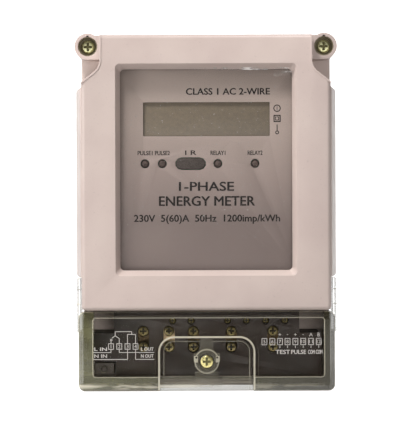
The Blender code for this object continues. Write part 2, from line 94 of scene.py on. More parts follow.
@dataclass(frozen=True)
class Span:
    """The box that a CAD node fills, in millimetres."""

    low: Place
    high: Place

    @classmethod
    def of(cls, node: str) -> "Span":
        """Reads a node's box.

        Args:
            node: the CAD node's name.

        Returns:
            Its span at rest.
        """
        low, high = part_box(node)
        return cls(tuple(value / MM for value in low), tuple(value / MM for value in high))

    @property
    def centre(self) -> Place:
        """The middle of the box."""
        return tuple((a + b) / 2 for a, b in zip(self.low, self.high))

    def size(self, axis: Axis) -> float:
        """The box's length along an axis."""
        return self.high[axis.value] - self.low[axis.value]


def linear(red: int, green: int, blue: int) -> Colour:
    """Turns an 8-bit sRGB colour into linear light.

    Args:
        red: 0 to 255.
        green: 0 to 255.
        blue: 0 to 255.

    Returns:
        The linear colour.
    """

    def one(value: int) -> float:
        """Turns one channel."""
        part = value / 255
        return part / 12.92 if part <= 0.04045 else ((part + 0.055) / 1.055) ** 2.4

    return one(red), one(green), one(blue)


# ---------------------------------------------------------------------------------------------- bench


class Bench:
    """The modelling steps that the sub-assemblies share."""

    @staticmethod
    def clear() -> None:
        """Leaves edit mode and deselects everything."""
        if bpy.context.mode != "OBJECT":
            bpy.ops.object.mode_set(mode="OBJECT")
        bpy.ops.object.select_all(action="DESELECT")

    @classmethod
    def take(cls, piece: Piece) -> None:
        """Makes a piece the only selected and active object."""
        cls.clear()
        piece.select_set(True)
        bpy.context.view_layer.objects.active = piece

    @classmethod
    def settle(cls, name: str) -> Piece:
        """Names the object just added and moves its place into its mesh.

        Args:
            name: the piece's name.

        Returns:
            The piece.
        """
        piece = bpy.context.active_object
        piece.name = piece.data.name = name
        bpy.ops.object.transform_apply(location=True, rotation=True, scale=True)
        return piece

    @classmethod
    def block(cls, name: str, low: Place, high: Place) -> Piece:
        """Adds a box.

        Args:
            name: the piece's name.
            low: its lowest corner.
            high: its highest corner.

        Returns:
            The box.
        """
        cls.clear()
        centre = [(a + b) / 2 * MM for a, b in zip(low, high)]
        bpy.ops.mesh.primitive_cube_add(size=1.0, location=centre)
        bpy.context.active_object.scale = [abs(b - a) * MM for a, b in zip(low, high)]
        return cls.settle(name)

    @classmethod
    def rod(
        cls, name: str, x: float, z: float, radius: float, back: float, front: float, sides: int = 48
    ) -> Piece:
        """Adds a round bar along Y.

        Args:
            name: the piece's name.
            x: its axis across the meter.
            z: its axis up the meter.
            radius: its radius.
            back: Y of its rear end.
            front: Y of its front end.
            sides: how many sides it has.

        Returns:
            The bar.
        """
        cls.clear()
        bpy.ops.mesh.primitive_cylinder_add(
            vertices=sides,
            radius=radius * MM,
            depth=abs(back - front) * MM,
            location=(x * MM, (back + front) / 2 * MM, z * MM),
            rotation=(math.pi / 2, 0, 0),
        )
        return cls.settle(name)

    @classmethod
    def turned(
        cls, name: str, place: Place, profile: Sequence[tuple[float, float]], sides: int = 40
    ) -> Piece:
        """Turns a round piece about Y by extruding a ring from section to section.

        Args:
            name: the piece's name.
            place: where its axis starts.
            profile: (radius, y) of each section, y counted from place.
            sides: how many sides it has.

        Returns:
            The turned piece.
        """
        cls.clear()
        (radius, start), *rest = profile
        x, y, z = (value * MM for value in place)
        bpy.ops.mesh.primitive_circle_add(
            vertices=sides,
            radius=radius * MM,
            fill_type="NGON",
            location=(x, y + start * MM, z),
            rotation=(math.pi / 2, 0, 0),
        )
        piece = cls.settle(name)
        bpy.ops.object.mode_set(mode="EDIT")
        bpy.ops.mesh.select_all(action="SELECT")
        for next_radius, next_y in rest:
            move = {"value": (0, (next_y - start) * MM, 0)}
            bpy.ops.mesh.extrude_region_move(TRANSFORM_OT_translate=move)
            ratio = next_radius / radius
            bpy.ops.transform.resize(value=(ratio, 1, ratio), center_override=(x, y + next_y * MM, z))
            radius, start = next_radius, next_y
        bpy.ops.mesh.select_all(action="SELECT")
        bpy.ops.mesh.normals_make_consistent(inside=False)
        bpy.ops.object.mode_set(mode="OBJECT")
        return piece

    @classmethod
    def pick(cls, piece: Piece, kind: str, test: Callable[..., bool]) -> None:
        """Enters edit mode with only some edges or faces selected.

        Args:
            piece: the piece to edit.
            kind: EDGE or FACE.
            test: says of a bmesh edge or face whether it is wanted.
        """
        cls.take(piece)
        bpy.ops.object.mode_set(mode="EDIT")
        bpy.ops.mesh.select_mode(type=kind)
        bpy.ops.mesh.select_all(action="DESELECT")
        mesh = bmesh.from_edit_mesh(piece.data)
        for item in mesh.edges if kind == "EDGE" else mesh.faces:
            item.select_set(test(item))
        bmesh.update_edit_mesh(piece.data)

    @classmethod
    def round_edges(cls, piece: Piece, test: Callable[..., bool], radius: float, segments: int = 6) -> None:
        """Rounds the edges that pass a test.

        Args:
            piece: the piece to edit.
            test: says which edges.
            radius: the rounding.
            segments: how finely.
        """
        cls.pick(piece, "EDGE", test)
        bpy.ops.mesh.bevel(offset=radius * MM, segments=segments, affect="EDGES")
        bpy.ops.object.mode_set(mode="OBJECT")

    @classmethod
    def taper(cls, piece: Piece, test: Callable[..., bool], across: float, up: float) -> None:
        """Scales the faces that pass a test about their own middle, in X and Z.

        Args:
            piece: the piece to edit.
            test: says which faces.
            across: the scale in X.
            up: the scale in Z.
        """
        cls.pick(piece, "FACE", test)
        bpy.ops.transform.resize(value=(across, 1, up))
        bpy.ops.object.mode_set(mode="OBJECT")

    @classmethod
    def modify(cls, piece: Piece, kind: str, **settings: object) -> None:
        """Adds a modifier and applies it.

        Args:
            piece: the piece to change.
            kind: the modifier's type.
            **settings: its settings.
        """
        cls.take(piece)
        step = piece.modifiers.new(kind.title(), kind)
        for setting, value in settings.items():
            setattr(step, setting, value)
        bpy.ops.object.modifier_apply(modifier=step.name)

    @classmethod
    def combine(cls, piece: Piece, operation: str, *tools: Piece) -> None:
        """Joins or cuts with tools, which are used up.

        Args:
            piece: the piece to change.
            operation: UNION, DIFFERENCE or INTERSECT.
            *tools: the other solids.
        """
        for tool in tools:
            cls.modify(piece, "BOOLEAN", operation=operation, object=tool, solver="EXACT")
            bpy.data.objects.remove(tool)

    @classmethod
    def cut(cls, piece: Piece, *tools: Piece) -> None:
        """Cuts tools out of a piece."""
        cls.combine(piece, "DIFFERENCE", *tools)

    @classmethod
    def weld(cls, piece: Piece, *tools: Piece) -> None:
        """Joins tools to a piece."""
        cls.combine(piece, "UNION", *tools)

    @classmethod
    def soften(cls, piece: Piece, width: float, segments: int = 2, angle: float = 32.0) -> None:
        """Gives a piece's sharp edges a small round and shades it smooth.

        Args:
            piece: the piece to finish.
            width: the round's width.
            segments: how finely.
            angle: edges sharper than this many degrees are rounded.
        """
        cls.take(piece)
        bpy.ops.object.mode_set(mode="EDIT")
        bpy.ops.mesh.select_all(action="SELECT")
        bpy.ops.mesh.remove_doubles(threshold=2e-6)
        bpy.ops.mesh.dissolve_limited(angle_limit=math.radians(0.5))
        bpy.ops.object.mode_set(mode="OBJECT")
        limit = math.radians(angle)
        cls.modify(
            piece,
            "BEVEL",
            width=width * MM,
            segments=segments,
            limit_method="ANGLE",
            angle_limit=limit,
            use_clamp_overlap=True,
            miter_outer="MITER_ARC",
        )
        cls.smooth(piece)

    @classmethod
    def smooth(cls, piece: Piece, angle: float = 35.0) -> None:
        """Shades a piece smooth but for edges sharper than an angle."""
        cls.take(piece)
        bpy.ops.object.shade_smooth_by_angle(angle=math.radians(angle))

    @classmethod
    def recast(cls, node: str, name: str, width: float = 0.25, segments: int = 2) -> Piece:
        """Copies a CAD node's mesh, merges its loose triangles and rounds its edges.

        Args:
            node: the CAD node.
            name: the new piece's name.
            width: the round on its edges.
            segments: how finely.

        Returns:
            The new piece, which doesn't yet replace the node.
        """
        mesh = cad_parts[node].data.copy()
        mesh.materials.clear()
        piece = bpy.data.objects.new(name, mesh)
        mesh.name = name
        bpy.context.scene.collection.objects.link(piece)
        cls.soften(piece, width, segments)
        return piece

    @classmethod
    def copy(cls, piece: Piece, name: str, move: Place) -> Piece:
        """Copies a finished piece with a mesh of its own.

        Args:
            piece: the piece to copy.
            name: the copy's name.
            move: how far the copy's mesh moves.

        Returns:
            The copy.
        """
        cls.take(piece)
        bpy.ops.object.duplicate()
        double = bpy.context.active_object
        double.location = Vector(move) * MM
        return cls.settle(name)

    @classmethod
    def join(cls, name: str, pieces: Sequence[Piece]) -> Piece:
        """Joins pieces into one object, as for printing that lies on one surface.

        Args:
            name: the joined piece's name.
            pieces: what to join.

        Returns:
            The joined piece.
        """
        cls.clear()
        for piece in pieces:
            piece.select_set(True)
        bpy.context.view_layer.objects.active = pieces[0]
        if len(pieces) > 1:
            bpy.ops.object.join()
        return cls.settle(name)


def along(axis: Axis) -> Callable[[bmesh.types.BMEdge], bool]:
    """A test for edges that run along an axis."""

    def test(edge: bmesh.types.BMEdge) -> bool:
        """Says whether an edge runs that way."""
        way = (edge.verts[1].co - edge.verts[0].co).normalized()
        return abs(way[axis.value]) > 0.99

    return test


def towards(axis: Axis, sign: int) -> Callable[[bmesh.types.BMFace], bool]:
    """A test for faces whose normal points along an axis, one way."""
    return lambda face: face.normal[axis.value] * sign > 0.99


def at_front(y: float) -> Callable[[bmesh.types.BMEdge], bool]:
    """A test for edges that lie in the plane at a Y."""
    return lambda edge: all(abs(vert.co.y / MM - y) < 0.01 for vert in edge.verts)


# ------------------------------------------------------------------------------------------- finishes


class Recipe:
    """A material under construction: a Principled shader with patterns on object coordinates."""

    def __init__(self, name: str) -> None:
        """Starts a material.

        Args:
            name: the finish's name.
        """
        self.material = bpy.data.materials.new(name)
        self.material.use_nodes = True
        self.tree = self.material.node_tree
        self.shader = self.tree.nodes["Principled BSDF"]
        self.place: Socket = self.tree.nodes.new("ShaderNodeTexCoord").outputs["Object"]

    def node(
        self, kind: str, inputs: dict[str | int, object] | None = None, **settings: object
    ) -> bpy.types.Node:
        """Adds a node.

        Args:
            kind: the node's type.
            inputs: what goes into its sockets, a socket to link or a plain value.
            **settings: its settings.

        Returns:
            The node.
        """
        made = self.tree.nodes.new(kind)
        for setting, value in settings.items():
            setattr(made, setting, value)
        for key, value in (inputs or {}).items():
            if isinstance(value, bpy.types.NodeSocket):
                self.tree.links.new(value, made.inputs[key])
            else:
                made.inputs[key].default_value = value
        return made

    def stretched(self, scale: Place) -> Socket:
        """Object coordinates scaled differently along each axis."""
        return self.node("ShaderNodeMapping", {"Vector": self.place, "Scale": scale}).outputs[0]

    def noise(self, size: float, detail: float = 4.0, stretch: Place = (1, 1, 1)) -> Socket:
        """Noise whose features are about a size across.

        Args:
            size: the features' size.
            detail: how many finer layers it has.
            stretch: how much finer it is along each axis.

        Returns:
            A value from 0 to 1.
        """
        scale = 1.0 / (size * MM)
        inputs = {"Vector": self.stretched(stretch), "Scale": scale, "Detail": detail}
        return self.node("ShaderNodeTexNoise", inputs).outputs["Fac"]

    def spread(
        self, value: Socket, low: float, high: float, start: float = 0.35, end: float = 0.65
    ) -> Socket:
        """Spreads a value's range from start to end over low to high."""
        inputs = {"Value": value, "From Min": start, "From Max": end, "To Min": low, "To Max": high}
        return self.node("ShaderNodeMapRange", inputs).outputs[0]

    def mix(self, factor: Socket | float, first: Socket | Colour, second: Socket | Colour) -> Socket:
        """Mixes two colours.

        Args:
            factor: 0 for the first, 1 for the second.
            first: a colour or a socket.
            second: a colour or a socket.

        Returns:
            The mixed colour.
        """
        made = self.node("ShaderNodeMix", {0: factor}, data_type="RGBA")
        for index, colour in ((6, first), (7, second)):
            if isinstance(colour, bpy.types.NodeSocket):
                self.tree.links.new(colour, made.inputs[index])
            else:
                made.inputs[index].default_value = (*colour, 1.0)
        return made.outputs[2]

    def math(self, operation: str, first: Socket | float, second: Socket | float = 0.0) -> Socket:
        """Does one sum on two values."""
        return self.node("ShaderNodeMath", {0: first, 1: second}, operation=operation).outputs[0]

    def coordinate(self, axis: Axis) -> Socket:
        """The place along one axis, in metres."""
        return self.node("ShaderNodeSeparateXYZ", {0: self.place}).outputs[axis.value]

    def times(self, first: Socket, *others: Socket | float) -> Socket:
        """Multiplies values together."""
        for other in others:
            first = self.math("MULTIPLY", first, other)
        return first

    def most(self, first: Socket, *others: Socket | float) -> Socket:
        """Takes the highest of several values."""
        for other in others:
            first = self.math("MAXIMUM", first, other)
        return first

    def past(self, place: Socket, start: float, end: float, low: float = 0.0, high: float = 1.0) -> Socket:
        """Goes from low to high as a place goes from start to end, both in millimetres."""
        return self.spread(place, low, high, start * MM, end * MM)

    def between(self, place: Socket, low: float, high: float, blur: float) -> Socket:
        """A mask that is 1 where a place lies between two limits in millimetres, with blurred ends."""
        rise = self.past(place, low - blur, low + blur)
        return self.times(rise, self.past(place, high - blur, high + blur, 1.0, 0.0))

    def bump(self, height: Socket, distance: float, strength: float = 1.0) -> None:
        """Gives the surface relief.

        Args:
            height: the relief, 0 to 1.
            distance: its depth.
            strength: how much of it shows.
        """
        before = self.shader.inputs["Normal"].links
        inputs = {"Height": height, "Distance": distance * MM, "Strength": strength}
        made = self.node("ShaderNodeBump", inputs)
        if before:
            self.tree.links.new(before[0].from_socket, made.inputs["Normal"])
        self.tree.links.new(made.outputs[0], self.shader.inputs["Normal"])

    def give(self, **sockets: Socket | float | Colour) -> None:
        """Sets the shader's sockets, named with underscores for spaces."""
        for key, value in sockets.items():
            target = self.shader.inputs[key.replace("_", " ")]
            if isinstance(value, bpy.types.NodeSocket):
                self.tree.links.new(value, target)
            elif isinstance(value, tuple):
                target.default_value = (*value, 1.0)
            else:
                target.default_value = value


@dataclass(frozen=True)
class Moulding:
    """A moulded plastic with faint mottling, a spark-eroded grain and a little dust."""

    name: str
    colour: Colour
    shade: Colour
    roughness: float = 0.42
    grain: float = 0.35
    depth: float = 0.012
    dust: float = 0.25

    def make(self) -> bpy.types.Material:
        """Builds the material."""
        recipe = Recipe(self.name)
        mottled = recipe.mix(recipe.spread(recipe.noise(22.0, 3.0), 0.0, 1.0), self.colour, self.shade)
        specks = recipe.spread(recipe.noise(0.9, 2.0), 0.0, self.dust, 0.66, 0.76)
        dusty = tuple(value * 0.55 for value in self.colour)
        recipe.give(Base_Color=recipe.mix(specks, mottled, dusty))
        rough = recipe.spread(recipe.noise(7.0), self.roughness - 0.05, self.roughness + 0.07)
        recipe.give(Roughness=rough, IOR=1.49)
        recipe.bump(recipe.noise(self.grain, 2.0), self.depth)
        return recipe.material


@dataclass(frozen=True)
class Metal:
    """A turned, rolled or plated metal with tool marks, tarnish and fine pitting."""

    name: str
    colour: Colour
    tarnish: Colour
    roughness: float = 0.3
    marks: Place = (1.0, 9.0, 1.0)

    def make(self) -> bpy.types.Material:
        """Builds the material."""
        recipe = Recipe(self.name)
        patches = recipe.spread(recipe.noise(2.6, 5.0), 0.0, 0.75, 0.42, 0.72)
        recipe.give(Base_Color=recipe.mix(patches, self.colour, self.tarnish), Metallic=1.0)
        streaks = recipe.noise(1.1, 3.0, self.marks)
        recipe.give(Roughness=recipe.spread(streaks, self.roughness - 0.08, self.roughness + 0.14))
        recipe.bump(streaks, 0.01)
        recipe.bump(recipe.noise(0.25, 1.0), 0.004)
        return recipe.material


@dataclass(frozen=True)
class SatinSheet:
    """The nameplate's satin silver lacquer with a fine brushed grain, under a painted reflection darker
    towards its foot.
    """

    name: str
    bands: tuple[tuple[float, Colour], ...]

    def make(self) -> bpy.types.Material:
        """Builds the material."""
        recipe = Recipe(self.name)
        low, high = self.bands[0][0], self.bands[-1][0]
        height = recipe.math("MULTIPLY", recipe.coordinate(Axis.Z), 1 / MM)
        place = recipe.spread(height, 0.0, 1.0, low, high)
        # The ramp of colours up the plate is a painted reflection.
        ramp = recipe.node("ShaderNodeValToRGB", {"Fac": place})
        steps = ramp.color_ramp.elements
        for index, (z, colour) in enumerate(self.bands):
            step = steps[index] if index < len(steps) else steps.new(1.0)
            step.position = (z - low) / (high - low)
            step.color = (*colour, 1.0)
        fine = recipe.noise(0.5, 3.0, (1.0, 1.0, 14.0))
        deep = tuple(value * 0.7 for value in self.bands[0][1])
        darker = recipe.mix(recipe.spread(fine, 0.0, 0.16), ramp.outputs[0], deep)
        cloud = recipe.spread(recipe.noise(30.0, 2.0), 0.0, 0.10)
        recipe.give(Base_Color=recipe.mix(cloud, darker, self.bands[-1][1]), Metallic=0.15)
        recipe.give(Roughness=recipe.spread(fine, 0.42, 0.52))
        recipe.bump(fine, 0.004)
        return recipe.material


@dataclass(frozen=True)
class Ink:
    """Screen-printed ink, slightly uneven."""

    name: str
    colour: Colour
    thin: Colour

    def make(self) -> bpy.types.Material:
        """Builds the material."""
        recipe = Recipe(self.name)
        worn = recipe.spread(recipe.noise(0.6, 4.0), 0.0, 0.5, 0.45, 0.75)
        recipe.give(Base_Color=recipe.mix(worn, self.colour, self.thin))
        recipe.give(Roughness=recipe.spread(recipe.noise(1.5), 0.5, 0.65), Specular_IOR_Level=0.12)
        return recipe.material


@dataclass(frozen=True)
class ClearPane:
    """A clear polished sheet with dust specks and faint scratches."""

    name: str
    tint: Colour
    solid: float = 0.012

    def make(self) -> bpy.types.Material:
        """Builds the material."""
        recipe = Recipe(self.name)
        lines = recipe.spread(recipe.noise(3.0, 6.0, (0.3, 1.0, 5.0)), 0.0, 0.08, 0.68, 0.74)
        specks = recipe.spread(recipe.noise(0.8, 1.0), 0.0, 0.4, 0.74, 0.78)
        recipe.give(Base_Color=self.tint, Roughness=0.08, IOR=1.49)
        marks = recipe.math("MAXIMUM", lines, specks)
        recipe.give(Alpha=recipe.math("ADD", marks, self.solid))
        return recipe.material


@dataclass(frozen=True)
class CoverPlan:
    """The terminal cover's driving places, which its shape and its finish share."""

    half_width: float = 57.6
    foot: float = -80.0
    face: float = -55.5
    rim_middle: float = 0.9
    rim_half_width: float = 52.1
    rim_foot: float = -73.9
    rim_top: float = -46.9
    step_half_width: float = 21.0
    step_top: float = -56.1
    step_face: float = -51.5
    boss_z: float = -66.8


@dataclass(frozen=True)
class ClearMoulding:
    """Clear polycarbonate: clear face on, olive where its walls pile up, painted highlights on turned edges.
    """

    name: str
    olive: Colour
    # shade is both a random cloudiness of the olive and the painted shade towards the right.
    shade: Colour
    # bead is the pale colour of the painted highlights on edges, lines and boss.
    bead: Colour
    plan: CoverPlan = CoverPlan()

    def olive_band(self, recipe: Recipe) -> Socket:
        """Marks the walls that are seen end on round the clear front.

        Args:
            recipe: the material being made.

        Returns:
            The mask.
        """
        x, height = recipe.coordinate(Axis.X), recipe.coordinate(Axis.Z)
        across = recipe.math("ABSOLUTE", x)
        off_middle = recipe.math("ABSOLUTE", recipe.math("SUBTRACT", x, self.plan.rim_middle * MM))
        inner = self.plan.rim_half_width - 0.5
        side = recipe.past(off_middle, inner - 0.3, inner + 0.3)
        low = recipe.past(height, self.plan.rim_foot - 0.2, self.plan.rim_foot + 0.6, 1.0, 0.0)
        step = self.plan.step_half_width
        beside = recipe.past(across, step - 0.5, step + 0.5, 0.4, 1.0)
        body = recipe.past(across, self.plan.half_width - 0.35, self.plan.half_width + 0.05, 1.0, 0.12)
        return recipe.times(recipe.most(side, recipe.times(low, beside)), body)

    def foot_gleam(self, recipe: Recipe) -> Socket:
        """Marks the painted highlight along the foot, a broken gleam which fades to the right.

        Args:
            recipe: the material being made.

        Returns:
            The mask.
        """
        strip = recipe.between(recipe.coordinate(Axis.Z), self.plan.foot + 1.0, self.plan.foot + 3.2, 0.7)
        broken = recipe.spread(recipe.noise(7.0, 3.0, (0.35, 1.0, 2.2)), 0.0, 1.0, 0.46, 0.58)
        return recipe.times(broken, strip, recipe.past(recipe.coordinate(Axis.X), -20.0, 30.0, 1.0, 0.25))

    def raised_lines(self, recipe: Recipe) -> Socket:
        """Marks the painted highlights on the rim line, the bead round the step and the rib inside it.

        Args:
            recipe: the material being made.

        Returns:
            The mask.
        """
        depth = recipe.coordinate(Axis.Y)
        proud = recipe.past(depth, self.plan.face - 0.2, self.plan.face - 0.1, 1.0, 0.0)
        highest = recipe.past(depth, self.plan.face - 0.4, self.plan.face - 0.3, 1.0, 0.85)
        ribs = recipe.between(depth, self.plan.step_face - 0.5, self.plan.step_face - 0.12, 0.04)
        return recipe.most(recipe.times(proud, highest), recipe.times(ribs, 0.6))

    def boss_lines(self, recipe: Recipe) -> Socket:
        """Marks the painted highlights on the boss: its rim, its faint body and neck, and its brighter seal
        lugs.

        Args:
            recipe: the material being made.

        Returns:
            The mask.
        """
        x, depth, height = (recipe.coordinate(axis) for axis in Axis)
        across = recipe.math("ABSOLUTE", x)
        boss = self.plan.boss_z
        rise = recipe.math("SUBTRACT", height, boss * MM)
        reach = recipe.math("POWER", recipe.math("ADD", recipe.times(x, x), recipe.times(rise, rise)), 0.5)
        rim = recipe.times(recipe.between(reach, 4.95, 5.7, 0.15), 0.7)
        proud = recipe.past(depth, self.plan.step_face - 1.6, self.plan.step_face - 1.2, 0.34, 0.0)
        near = recipe.past(across, 6.4, 6.6, 1.0, 0.0)
        under = recipe.past(height, self.plan.step_top - 0.3, self.plan.step_top - 0.1, 1.0, 0.0)
        lugs = recipe.times(
            recipe.between(across, 4.0, 5.8, 0.1), recipe.between(height, boss - 0.4, boss + 2.6, 0.2)
        )
        return recipe.most(rim, recipe.times(proud, near, under, recipe.spread(lugs, 1.0, 2.6, 0.0, 1.0)))

    def make(self) -> bpy.types.Material:
        """Builds the material."""
        recipe = Recipe(self.name)
        clouds = recipe.spread(recipe.noise(5.0, 4.0, (0.5, 1.0, 1.0)), 0.0, 0.5)
        # Painted shade: the olive darkens towards the right, away from the light.
        darker = recipe.past(recipe.coordinate(Axis.X), -50.0, 50.0)
        olive = recipe.mix(darker, recipe.mix(clouds, self.olive, self.shade), self.shade)
        facing = recipe.node("ShaderNodeLayerWeight", {"Blend": 0.5}).outputs["Facing"]
        # Painted highlight: edges that turn away from the view take the pale colour.
        turned = recipe.spread(facing, 0.0, 1.0, 0.2, 0.7)
        painted_highlight = recipe.most(
            turned, self.foot_gleam(recipe), self.raised_lines(recipe), self.boss_lines(recipe)
        )
        recipe.give(Base_Color=recipe.mix(painted_highlight, olive, self.bead))
        recipe.give(Roughness=0.14, IOR=1.5, Specular_IOR_Level=0.4)
        streaks = recipe.spread(recipe.noise(9.0, 4.0, (0.3, 1.0, 1.6)), 0.01, 0.035)
        band = recipe.times(self.olive_band(recipe), 0.78)
        recipe.give(Alpha=recipe.most(band, recipe.times(painted_highlight, 0.7), streaks))
        return recipe.material


@dataclass(frozen=True)
class Film:
    """Creased protective film, whiter along its creases."""

    name: str
    colour: Colour
    thinnest: float = 0.04
    thickest: float = 0.75

    def make(self) -> bpy.types.Material:
        """Builds the material."""
        recipe = Recipe(self.name)
        creases = recipe.noise(2.6, 5.0, (0.5, 1.0, 1.6))
        recipe.give(Base_Color=self.colour, Roughness=recipe.spread(creases, 0.15, 0.3), IOR=1.5)
        recipe.give(Alpha=recipe.spread(creases, self.thinnest, self.thickest, 0.5, 0.66))
        recipe.bump(creases, 0.2)
        return recipe.material


@dataclass(frozen=True)
class Lens:
    """A small polished lens, tinted and unlit."""

    name: str
    colour: Colour
    heart: Colour
    roughness: float = 0.12
    gloss: float = 0.5

    def make(self) -> bpy.types.Material:
        """Builds the material."""
        recipe = Recipe(self.name)
        cloud = recipe.spread(recipe.noise(1.3, 3.0), 0.0, 1.0)
        recipe.give(Base_Color=recipe.mix(cloud, self.colour, self.heart), IOR=1.5)
        recipe.give(Roughness=recipe.spread(recipe.noise(0.8), self.roughness, self.roughness + 0.1))
        recipe.give(Specular_IOR_Level=self.gloss)
        return recipe.material


@dataclass(frozen=True)
class Laminate:
    """Green circuit board with lighter tracks under its solder resist."""

    name: str
    resist: Colour
    track: Colour

    def make(self) -> bpy.types.Material:
        """Builds the material."""
        recipe = Recipe(self.name)
        bricks = recipe.node(
            "ShaderNodeTexBrick",
            {"Vector": recipe.stretched((1, 1, 1)), "Scale": 140.0, "Mortar Size": 0.018},
            offset=0.37,
            squash=1.6,
        )
        tracks = recipe.mix(bricks.outputs["Fac"], self.resist, self.track)
        recipe.give(Base_Color=recipe.mix(recipe.spread(recipe.noise(4.0), 0.0, 0.3), tracks, self.resist))
        recipe.give(Roughness=recipe.spread(recipe.noise(2.0), 0.28, 0.4), IOR=1.5)
        recipe.bump(bricks.outputs["Fac"], 0.03)
        return recipe.material


class Finishes:
    """Every finish of the meter, each made once."""

    RECIPES = (
        Moulding("case_cream", linear(199, 182, 174), linear(192, 174, 167)),
        Moulding("base_grey", linear(190, 176, 166), linear(178, 164, 154), 0.5, 0.6, 0.02),
        Moulding("dark_frame", linear(58, 50, 45), linear(46, 40, 36), 0.55),
        Moulding("plunger_grey", linear(96, 88, 80), linear(78, 70, 64), 0.5),
        # The next finish is painted shade for the deep screw wells.
        Moulding("well_shade", linear(150, 140, 114), linear(120, 111, 90), 0.6),
        # The next two finishes are painted shade for the screws' cross recesses.
        Moulding("recess_shade", linear(34, 30, 22), linear(22, 19, 14), 0.7),
        Moulding("recess_shade_olive", linear(146, 140, 92), linear(104, 98, 62), 0.5),
        Moulding("block_brown", linear(46, 35, 27), linear(32, 25, 19), 0.55, 0.5, 0.02, 0.5),
        Moulding("relay_black", linear(44, 46, 52), linear(34, 36, 40), 0.45),
        Moulding("gasket_rubber", linear(36, 36, 36), linear(26, 26, 26), 0.75),
        Moulding("cell_sleeve", linear(196, 168, 72), linear(180, 150, 60), 0.35),
        Metal("brass_turned", linear(124, 112, 78), linear(60, 52, 32), 0.36),
        # The next finish is a lighter copy of the cage brass: a painted highlight on one cage.
        Metal("brass_lit", linear(200, 176, 140), linear(150, 128, 94), 0.42),
        Metal("brass_dull", linear(104, 88, 66), linear(70, 57, 42), 0.5),
        Metal("zinc_yellow", linear(240, 238, 190), linear(150, 148, 96), 0.32),
        # The next finish is a darker copy of zinc_yellow for the cover screw: painted shade.
        Metal("zinc_shaded", linear(206, 196, 138), linear(112, 102, 60), 0.32),
        Metal("steel_plated", linear(196, 194, 188), linear(150, 146, 138), 0.36),
        Metal("copper_rolled", linear(214, 140, 98), linear(150, 92, 62), 0.36),
        SatinSheet(
            "nameplate_satin",
            # The bands below, each a height and a colour, are a painted reflection.
            (
                (-25.0, linear(112, 98, 93)),
                (-5.0, linear(115, 101, 96)),
                (18.0, linear(142, 126, 119)),
                (38.0, linear(158, 142, 133)),
                (63.5, linear(144, 129, 120)),
            ),
        ),
        Ink("ink_dark", linear(22, 18, 17), linear(36, 31, 29)),
        Ink("ink_white", linear(206, 200, 194), linear(170, 164, 156)),
        ClearPane("pane_clear", linear(225, 220, 214)),
        Film("film_creased", linear(240, 236, 232)),
        # cover_clear: its bead colour is the pale of its painted highlights, its shade the painted shade to
        # the right.
        ClearMoulding(
            "cover_clear",
            olive=linear(106, 104, 74),
            shade=linear(60, 55, 38),
            bead=linear(214, 206, 184),
        ),
        Lens("display_olive", linear(104, 92, 76), linear(98, 87, 73), 0.3, 0.45),
        Lens("lamp_dark", linear(86, 72, 66), linear(62, 51, 47), 0.5, 0.1),
        Lens("infrared_dark", linear(70, 62, 58), linear(60, 53, 49), 0.5, 0.1),
        Laminate("board_green", linear(34, 92, 52), linear(66, 132, 78)),
    )

    def __init__(self) -> None:
        """Builds each finish's material."""
        self.made = {recipe.name: recipe.make() for recipe in self.RECIPES}

    def dress(self, piece: Piece, name: str, inner: str | None = None) -> None:
        """Gives a piece its finish.

        Args:
            piece: the piece or CAD node.
            name: the finish.
            inner: the finish of its second slot, if it has one.
        """
        if not piece.material_slots:
            piece.data.materials.append(None)
        for index, place in enumerate(piece.material_slots):
            place.material = self.made[inner if inner and index else name]


@dataclass
class Fitter:
    """Dresses finished pieces and fixes them to their bodies."""

    finishes: Finishes
    count: int = 0

    def fit(
        self, piece: Piece, body: str, finish: str, slot: Slot, *nodes: str, inner: str | None = None
    ) -> Piece:
        """Fits one piece.

        Args:
            piece: the finished piece.
            body: the CAD body it rides on.
            finish: its finish's name.
            slot: the record's slot for the piece; not used.
            *nodes: the CAD nodes it stands for.
            inner: the finish of its second material slot, if it has one.

        Returns:
            The piece.
        """
        self.finishes.dress(piece, finish, inner)
        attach(piece, body)
        if nodes:
            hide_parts(*nodes)
        self.count += 1
        log.info("%s rides on %s, %d faces", piece.name, body, len(piece.data.polygons))
        return piece

    def repaint(self, node: str, finish: str) -> None:
        """Gives a CAD node that stays a better finish."""
        self.finishes.dress(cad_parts[node], finish)
        log.info("%s keeps its shape in %s", node, finish)


# ----------------------------------------------------------------------------------------------- case


